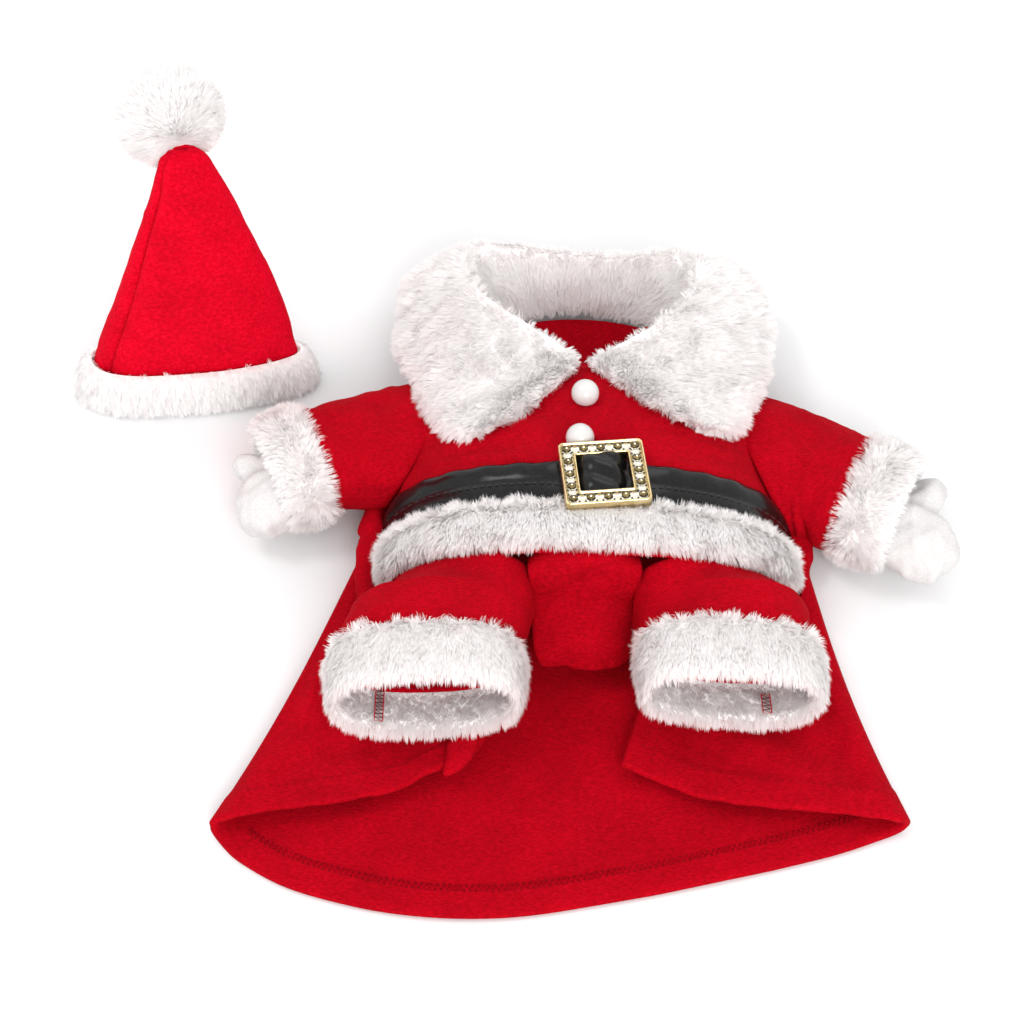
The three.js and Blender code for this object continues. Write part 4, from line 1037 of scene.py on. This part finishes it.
# Trim under the belt
share, around = field(150, 28, ring=True)
turn = mix(TRIM["start"], TRIM["end"], share)
foot = dome(turn, 0.0)[..., 0]
taper = np.minimum(1, np.sin(share * math.pi) * 4) ** 0.6
middle = belt_y(foot) - TRIM["below"]
thick = TRIM["thick"] * mix(0.3, 1, taper)
half = TRIM["width"] / 2 * mix(0.5, 0.86, taper)
across = np.cos(around * 2 * math.pi)
rise = np.maximum(np.sin(around * 2 * math.pi), 0) ** 0.8 * 0.55
trim = dome(turn, middle + across * half) + outward_of(turn) * (SEAM + 0.2 + rise * thick)[..., None]
near_buckle = (np.abs(foot - BUCKLE["x"]) < BUCKLE["width"] / 2 + 1) & (trim[..., 1] > BUCKLE["y"] - 16)
trim_base = sealed("trim_base", trim, PLUSH_BASE)
normal = normals_of(trim, ring=True)
flip = facing(normal, outward_of(turn), rise > 0.3)
comb = vec(0.25 * np.sin(share * 40), -1.0, 0) * np.where(across > 0.6, 0.3, 1)[..., None]
density = np.where(np.sin(around * 2 * math.pi) < -0.15, 0.05, 1.0)
fur("trim_fur", trim, 17000, 30000, np.where(near_buckle, 2.4, 5.0), comb, 83, normal * flip,
    density=density, **SHORT_PLUSH)
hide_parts("hem_trim")

# Buckle: a metal frame with a row of stones, a pin under the belt
buckle_z = CHEST["height"] + SEAM + BUCKLE["lift"]


def buckle_place(p):
    a = math.radians(BUCKLE["turn"])
    p = np.asarray(p, float)
    return vec(BUCKLE["x"] + p[..., 0] * math.cos(a) - p[..., 1] * math.sin(a),
               BUCKLE["y"] + p[..., 0] * math.sin(a) + p[..., 1] * math.cos(a), buckle_z + p[..., 2])


def rounded(width, height, radius, count=8):
    corners = []
    for cx, cy, start in ((1, 1, 0), (-1, 1, 90), (-1, -1, 180), (1, -1, 270)):
        a = np.radians(start + np.linspace(0, 90, count))
        corners.append(np.stack([cx * (width / 2 - radius) + radius * np.cos(a),
                                 cy * (height / 2 - radius) + radius * np.sin(a)], -1))
    return np.concatenate(corners)


def loop_piece(name, profile, look):
    """A band round the buckle's frame, with a profile of insets from its outer edge and heights."""
    rings = []
    for inset, z in profile:
        ring = rounded(BUCKLE["width"] - 2 * inset, BUCKLE["height"] - 2 * inset, max(1.8 - inset * 0.2, 0.6))
        rings.append(np.concatenate([ring, np.full((len(ring), 1), z)], axis=1))
    return sealed(name, buckle_place(np.stack(rings)), look, loop=True)


def studs(name, spots, rings, sides, look, twist=0.0):
    """Small raised forms, one at each spot, through rings of a radius and a height."""
    turns = np.arange(sides) * 2 * math.pi / sides + twist
    points, faces, first = [], [], 0
    j = np.arange(sides)
    top_row = (len(rings) - 1) * sides
    for x, y in spots:
        form = np.stack([vec(x + r * np.cos(turns), y + r * np.sin(turns), BED + z) for r, z in rings])
        points += [form.reshape(-1, 3), form[-1].mean(0, keepdims=True) + [0, 0, 0.04]]
        faces.append(quads(len(rings), sides, ring=True, first=first))
        faces.append(np.stack([first + top_row + j, first + top_row + (j + 1) % sides,
                               np.full(sides, first + top_row + sides)], -1))
        first += top_row + sides + 1
    return mesh_object(name, buckle_place(np.concatenate(points)), faces, look, smooth=False)


BED = BUCKLE["thick"] - 0.75
RIM = 0.85
high, far = BUCKLE["thick"], BUCKLE["bar"]
buckle_frame = loop_piece("buckle_frame", [
    (0, 0), (0, high - 0.6), (0.15, high - 0.2), (RIM * 0.5, high), (RIM - 0.1, high - 0.15), (RIM, BED),
    (far - RIM, BED), (far - RIM + 0.1, high - 0.15), (far - RIM * 0.5, high), (far - 0.15, high - 0.2),
    (far, high - 0.6), (far, 0),
], GOLD)
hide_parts("buckle")
loop_piece("buckle_bed", [(RIM + 0.05, BED - 0.2), (RIM + 0.05, BED + 0.06), (far / 2, BED + 0.2),
                          (far - RIM - 0.05, BED + 0.06), (far - RIM - 0.05, BED - 0.2)], BRIGHT_METAL)
STONES_A_SIDE = 4
inner_w = BUCKLE["width"] - BUCKLE["bar"]
inner_h = BUCKLE["height"] - BUCKLE["bar"]
step_w, step_h = inner_w / STONES_A_SIDE, inner_h / STONES_A_SIDE


def on_level_side(sign, place, across=0.0):
    return sign * (inner_w / 2 - place * step_w), sign * inner_h / 2 + across


def on_upright_side(sign, place, across=0.0):
    return -sign * inner_w / 2 + across, sign * (inner_h / 2 - place * step_h)


spots, hole_shade_spots = [], []
steps_of_side = [(k, sign) for k in range(STONES_A_SIDE) for sign in (-1, 1)]
for k, sign in steps_of_side:
    spots += [on_level_side(sign, k), on_upright_side(sign, k)]
    for along in (0.32, 0.68):
        for across in (-1.55, 1.55):
            hole_shade_spots += [on_level_side(sign, k + along, across), on_upright_side(sign, k + along, across)]
between = [on_level_side(sign, k + 0.5) for k, sign in steps_of_side]
between += [on_upright_side(sign, k + 0.5) for k, sign in steps_of_side]
# Dark rings round the stones and dark dots beside them: painted shade of sockets and small holes
studs("buckle_socket_shade", spots, [(1.8, 0.0), (1.7, 0.3)], 8, PIT_SHADE, math.pi / 8)
studs("buckle_hole_shade", hole_shade_spots, [(0.42, 0.0), (0.36, 0.27)], 6, PIT_SHADE)
studs("buckle_stones", spots, [(1.6, 0.2), (1.55, 0.5), (1.0, 0.95), (0.6, 1.02)], 4, STONE)
# Bright metal caps on top of the stones: painted glints
studs("buckle_painted_glints", spots, [(0.42, 1.0), (0.3, 1.12)], 4, BRIGHT_METAL, math.pi / 4)
studs("buckle_stars", between, [(2.0, 0.0), (0.7, 0.4), (0.2, 0.7)], 4, BRIGHT_METAL, math.pi / 4)
pin_length = BUCKLE["height"] - BUCKLE["bar"]
pin = np.linspace(-pin_length / 2, pin_length / 2, 12)
tubes("buckle_pin", [buckle_place(np.stack([0 * pin, pin, 0.9 + 0 * pin], -1))], 0.8, GOLD, sides=10)

# Buttons
for name, (x, y) in BUTTONS.items():
    share, around = field(24, 36, ring=True)
    lat = mix(0.03, 1, share) * math.pi
    centre = dome(dome_turn(np.array(x)), np.array(float(y))) + [0, 0, BUTTON_RISE]
    ball = centre + BUTTON_RADIUS * sphere(lat, around)
    ball[..., 2] = np.maximum(ball[..., 2], centre[2] - BUTTON_RISE + SEAM)
    button = sealed(f"button_{name}_ball", ball, BUTTON)
    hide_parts(f"button_{name}")

# Collar
COLLAR = table(
    "turn fold_x fold_y fold_z edge_x edge_y edge_z swell",
    (93, -0.5, 55, 56, -40, 19.5, 50, 6), (112, -16, 66, 59, -53, 26, 46, 1),
    (140, -31, 81, 59, -63, 46, 42, 0),
    (165, -41, 95, 58, -71, 73, 35, 0), (188, -45, 110, 55, -75.5, 103, 25, 0),
    (214, -46, 125, 50, -74, 131, 25, 0),
    (238, -34, 133, 47, -58, 150, 15, 0), (258, -12, 132, 44, -20, 152, 8, 0),
    (282, 12, 130, 44, 20, 151, 8, 0),
    (302, 35, 128, 47, 60, 147, 15, 0), (326, 46, 119, 51, 77, 130, 26, 0),
    (352, 44, 102, 55, 79, 100, 25, 0),
    (375, 38, 88, 58, 74, 71, 35, 0), (400, 29, 75, 59, 66, 46, 42, 0), (428, 15, 63, 59, 55, 27, 47, -1),
    (447, 0.5, 54, 56, 43, 22.5, 51, -6),
)
COLLAR_PLUSH = 8
COLLAR_INSET = 2.6


def collar_sections(share):
    turn = column(COLLAR["turn"], share)
    seam = neck_ring(turn, -1) + [0, 0, 1.2]
    root = neck_ring(turn, COLLAR_PLUSH * 0.7) + [0, 0, 1.2]
    fold = vec(*columns_of(COLLAR, "fold_x fold_y fold_z", share))
    edge = vec(*columns_of(COLLAR, "edge_x edge_y edge_z", share))
    over = edge - fold
    across = unit(over * [1, 1, 0])
    down = np.array([0, 0, -1.0])
    aside = np.stack([-across[:, 1], across[:, 0], 0 * share], -1) * column(COLLAR["swell"], share)[:, None]
    top = mix(fold, edge, 0.14) - down * 1.5
    crown = mix(fold, edge, 0.5) - down * 4.5 + aside
    lip = edge + across * 0.5
    under = edge - across * 3 + down * COLLAR_PLUSH * 0.8
    belly_side = crown + down * (COLLAR_PLUSH + 1) - across * 3
    armpit = mix(root, belly_side, 0.45) + down * 3
    inner = mix(seam, fold, 0.55) - across
    rim = fold + down * 2 - across
    shoulder = mix(fold, edge, 0.8) - down * 3.5 + aside * 0.7
    return np.stack([seam, inner, rim, top, crown, shoulder, lip, under, belly_side, armpit, root], axis=1)


def closed_curve(sections, count):
    """Each section's corners as a smooth closed curve of count points."""
    corners = sections.shape[1]
    spot = np.linspace(0, corners, count, endpoint=False)
    i = np.floor(spot).astype(int)
    t = (spot - i)[None, :, None]
    a, b, c, d = (sections[:, (i + k) % corners] for k in (-1, 0, 1, 2))
    return spline(a, b, c, d, t)


share = np.concatenate([[0, 0.004, 0.01, 0.018], np.linspace(0.028, 0.972, 122), [0.982, 0.99, 0.996, 1]])
POINTS_A_CORNER = 5
COLLAR_POINTS = 11 * POINTS_A_CORNER
collar = closed_curve(collar_sections(share), COLLAR_POINTS)
from_end = np.clip(np.minimum(share, 1 - share) / 0.03, 0, 1)
full = np.sqrt(1 - (1 - from_end) ** 2)[:, None, None]
spot = np.arange(COLLAR_POINTS) / POINTS_A_CORNER
mirror = np.where(spot < 6, 10.5 - 0.75 * spot, (10.5 - spot) / 0.75)
spine = (collar + collar[:, np.round(mirror * POINTS_A_CORNER).astype(int) % COLLAR_POINTS]) / 2
collar = mix(spine, collar, mix(0.3, 1, full))
normal = normals_of(collar, ring=True)
flip = np.sign(normal[45:85, 20, 2].mean())
normal = normal * flip
from_spine = unit(collar - spine)
wrong = np.einsum("ijk,ijk->ij", normal, from_spine) < 0
near_end = np.clip(1 - np.minimum(share, 1 - share) / 0.055, 0, 1)[:, None, None]
normal = unit(mix(np.where(wrong[..., None], from_spine, normal), from_spine, near_end))
ends = unit(collar[[0, -1]].mean(1) - collar[[8, -9]].mean(1))
end_way = np.where(share[:, None, None] < 0.5, ends[0], ends[1])
normal = unit(normal + end_way * 1.1 * near_end)
collar = collar - normal * COLLAR_INSET
collar = collar + normal * (0.9 * waves(collar, 28, 91) + 0.5 * waves(collar, 11, 92))[..., None]
collar_base = sealed("collar_base", collar, PLUSH_BASE)
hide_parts("collar")
outer_leaf = (spot >= 2.0) & (spot <= 6.6)
combed = np.where(outer_leaf, 1.0, np.where(spot < 1.6, -1.3, -0.2))
collar_hair = np.where(outer_leaf, 4.9, 3.8)[None, :]
comb = unit(steps(collar, 1, True)) * combed[None, :, None]
density = np.where(outer_leaf, 1.0, np.where(spot < 2.4, 0.9, 0.25))[None, :]
density = density * (1 + 2.5 * near_end[..., 0])
fur("collar_fur", collar, 38000, 78000, collar_hair, comb, 95, normal, tuft=22, density=density, rise=1.0,
    stray=0.26, wander=12.0, clump=0.58)

neck = np.linspace(-6, 9, 30)
rows_of_thread = []
for away in (0.0, 3.0):
    y = 52.5 + away + 0.02 * (neck - 2) ** 2
    rows_of_thread.append(vec(neck, y, dome_height(neck, y) + 1.6))
tubes("neck_stitches", [zigzag(*rows_of_thread, 1.3)], 0.28, SEAM_THREAD, sides=4)

# Hat
HAT_CONE = table(
    "x y half front back",
    (-160, 96.5, 44, 12, 8), (-157.5, 96.3, 41, 12, 8), (-154, 96, 35.5, 11.5, 8),
    (-151.3, 95.5, 29, 10.5, 7.5),
    (-149.3, 95, 22, 9, 7), (-148, 94.5, 14.8, 7.6, 6.2), (-147.5, 94, 8.2, 5.4, 4.6),
)


def hat_ring(degrees, z, spare=0.0):
    share = z / HAT["cone"]
    angle = np.radians(degrees)
    near = np.sin(angle) < 0
    tip = np.sqrt(1 - 0.9 * np.clip((share - 0.95) / 0.05, 0, 1) ** 2)
    x, y, half, front, back = columns_of(HAT_CONE, "x y half front back", share)
    egg = np.where(near, 1 - HAT["egg"] * np.cos(angle) * (1 - share), 1)
    deep = np.where(near, front, back) * egg * tip + spare
    side = (half * tip + spare) * power(np.cos(angle), 2 / HAT["square"])
    away = deep * power(np.sin(angle), 2 / np.where(near, HAT["square"], HAT["pinch"]))
    turn = math.radians(HAT["turn"])
    x = x + side * math.cos(turn) - away * math.sin(turn)
    return vec(x, y + side * math.sin(turn) + away * math.cos(turn), z)


for name, start in (("front", HAT["seam"]), ("back", HAT["seam"] - 180)):
    v, u = field(54, 50)
    z = mix(3, HAT["cone"], 1 - (1 - v) ** 1.15)
    degrees = start + mix(0.4, 179.6, u)
    seam_dip = 2.0 * np.exp(-u / 0.04) + 2.0 * np.exp(-(1 - u) / 0.04)
    spot = hat_ring(degrees, z)
    push = np.abs(0.4 * waves(spot, 45, 101) + 0.16 * waves(spot, 16, 102))
    dip = (seam_dip + push) * np.minimum((1 - v) * 6, 1)
    cloth = hat_ring(degrees, z, -dip)
    normal = normals_of(cloth)
    sign = facing(normal, cloth - vec(-152, 96, 60))
    panel = shell(f"hat_{name}_cloth", cloth, HAT_FLEECE, thick=1.8, side=-sign)
    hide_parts(f"hat_{name}")

outline = closed_curve(np.array([[(0, 0.2, 0), (0, 0.6, 0), (0.12, 0.72, 0), (0.45, 0.75, 0), (0.75, 0.66, 0),
                                  (0.88, 0.35, 0), (0.82, 0.1, 0), (0.4, 0.05, 0)]]), 32)[0]
degrees = np.linspace(0, 360, 150, endpoint=False)[None, :]
brim = hat_ring(degrees, outline[:, :1] * HAT["brim"] + 1.0, 2 * SEAM + outline[:, 1:2] * HAT["plush"] - 0.4)
brim_base = sealed("hat_brim_base", brim, PLUSH_BASE, loop=True)
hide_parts("hat_brim")
normal = normals_of(brim, ring=True, loop=True)
centre = vec(brim[..., 0].mean(1, keepdims=True), brim[..., 1].mean(1, keepdims=True), brim[..., 2])
flip = facing(normal, brim - centre, slice(10, 14))
comb = vec(0.1, 0, -1.0) * np.ones(brim.shape)
hair = np.clip(mix(6.0, 2.6, (outline[:, :1] - 0.3) / 0.6), 2.6, 6.0) * np.ones((1, 150))
density = (0.15 + (outline[:, 1] > 0.3))[:, None] * np.ones((1, 150))
fur("hat_brim_fur", brim, 14000, 30000, hair, comb, 105, normal * flip, tuft=16, loop=True, density=density,
    width=0.4, rise=0.85, lean=1.1, wander=5.0)

# Pompom: a core that is flattened toward the hat's tip, with fur combed away from it
share, around = field(40, 60, ring=True)
lat = share * math.pi
ball_way = sphere(lat, around)
middle = vec(POMPOM["x"], POMPOM["y"], POMPOM["z"])
tip = vec(HAT_CONE["x"][-1], HAT_CONE["y"][-1], HAT["cone"])
toward_tip = ball_way @ unit(tip - middle)
core = middle + ball_way * (POMPOM["core"] - POMPOM["dent"] * np.maximum(toward_tip, 0))[..., None]
pompom_base = sealed("pompom_core", core, PLUSH_BASE)
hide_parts("pompom")
hair = POMPOM["fur"] * (1 - 0.5 * np.maximum(toward_tip, 0) ** 2)
fur("pompom_fur", core, 15000, 30000, hair, unit(core - tip), 107, ball_way, tuft=14, width=0.42, rise=0.6,
    lean=0.95, stray=0.2, clump=0.45)

# Floor, light and camera
floor_look, nodes, links, shader = new_look("floor")
grain = noise(nodes, links, 8, 2)
FLOOR_COLORS = [(0.3, (0.80, 0.80, 0.805)), (0.7, (0.82, 0.82, 0.825))]
links.new(ramp(nodes, links, grain, FLOOR_COLORS), shader.inputs["Base Color"])
set_values(shader, {"Roughness": 0.9, "Specular IOR Level": 0.1})
mesh = bpy.data.meshes.new("floor")
mesh.from_pydata([(-6, -6, -0.0003), (6, -6, -0.0003), (6, 6, -0.0003), (-6, 6, -0.0003)], [], [(0, 1, 2, 3)])
mesh.materials.append(floor_look)
floor = bpy.data.objects.new("floor", mesh)
bpy.context.collection.objects.link(floor)

world = bpy.data.worlds.new("studio")
bpy.context.scene.world = world
world.use_nodes = True
set_values(world.node_tree.nodes["Background"], {"Color": (1, 1, 1, 1), "Strength": 1.0})
bpy.context.scene.view_settings.view_transform = "Standard"


def area_light(name, place, aim, size, watts):
    data = bpy.data.lights.new(name, "AREA")
    data.shape = "DISK"
    data.size = size
    data.energy = watts
    lamp = bpy.data.objects.new(name, data)
    lamp.location = place
    lamp.rotation_euler = (Vector(aim) - Vector(place)).to_track_quat("-Z", "Y").to_euler()
    bpy.context.collection.objects.link(lamp)


area_light("key", (-0.8, 0.1, 1.5), (0, 0, 0.03), 0.55, 5)
area_light("fill", (0.3, -1.4, 0.95), (0, 0.06, 0.03), 0.9, 17)
area_light("back", (0.3, 1.2, 1.3), (0, 0, 0.03), 0.7, 2)

# The camera looks down at the set from 50 degrees above the floor
CAMERA = {"elevation": 50, "distance": 631, "target": (-28, 0, 30), "lens": 60, "sensor": 36}
data = bpy.data.cameras.new("camera")
data.lens = CAMERA["lens"]
data.sensor_width = CAMERA["sensor"]
data.clip_start = 0.01
camera = bpy.data.objects.new("camera", data)
rise = math.radians(CAMERA["elevation"])
target = (np.array(CAMERA["target"]) + SHIFT) / 1000
camera.location = target + np.array([0, -math.cos(rise), math.sin(rise)]) * CAMERA["distance"] / 1000
camera.rotation_euler = (math.pi / 2 - rise, 0, 0)
bpy.context.collection.objects.link(camera)
bpy.context.scene.camera = camera
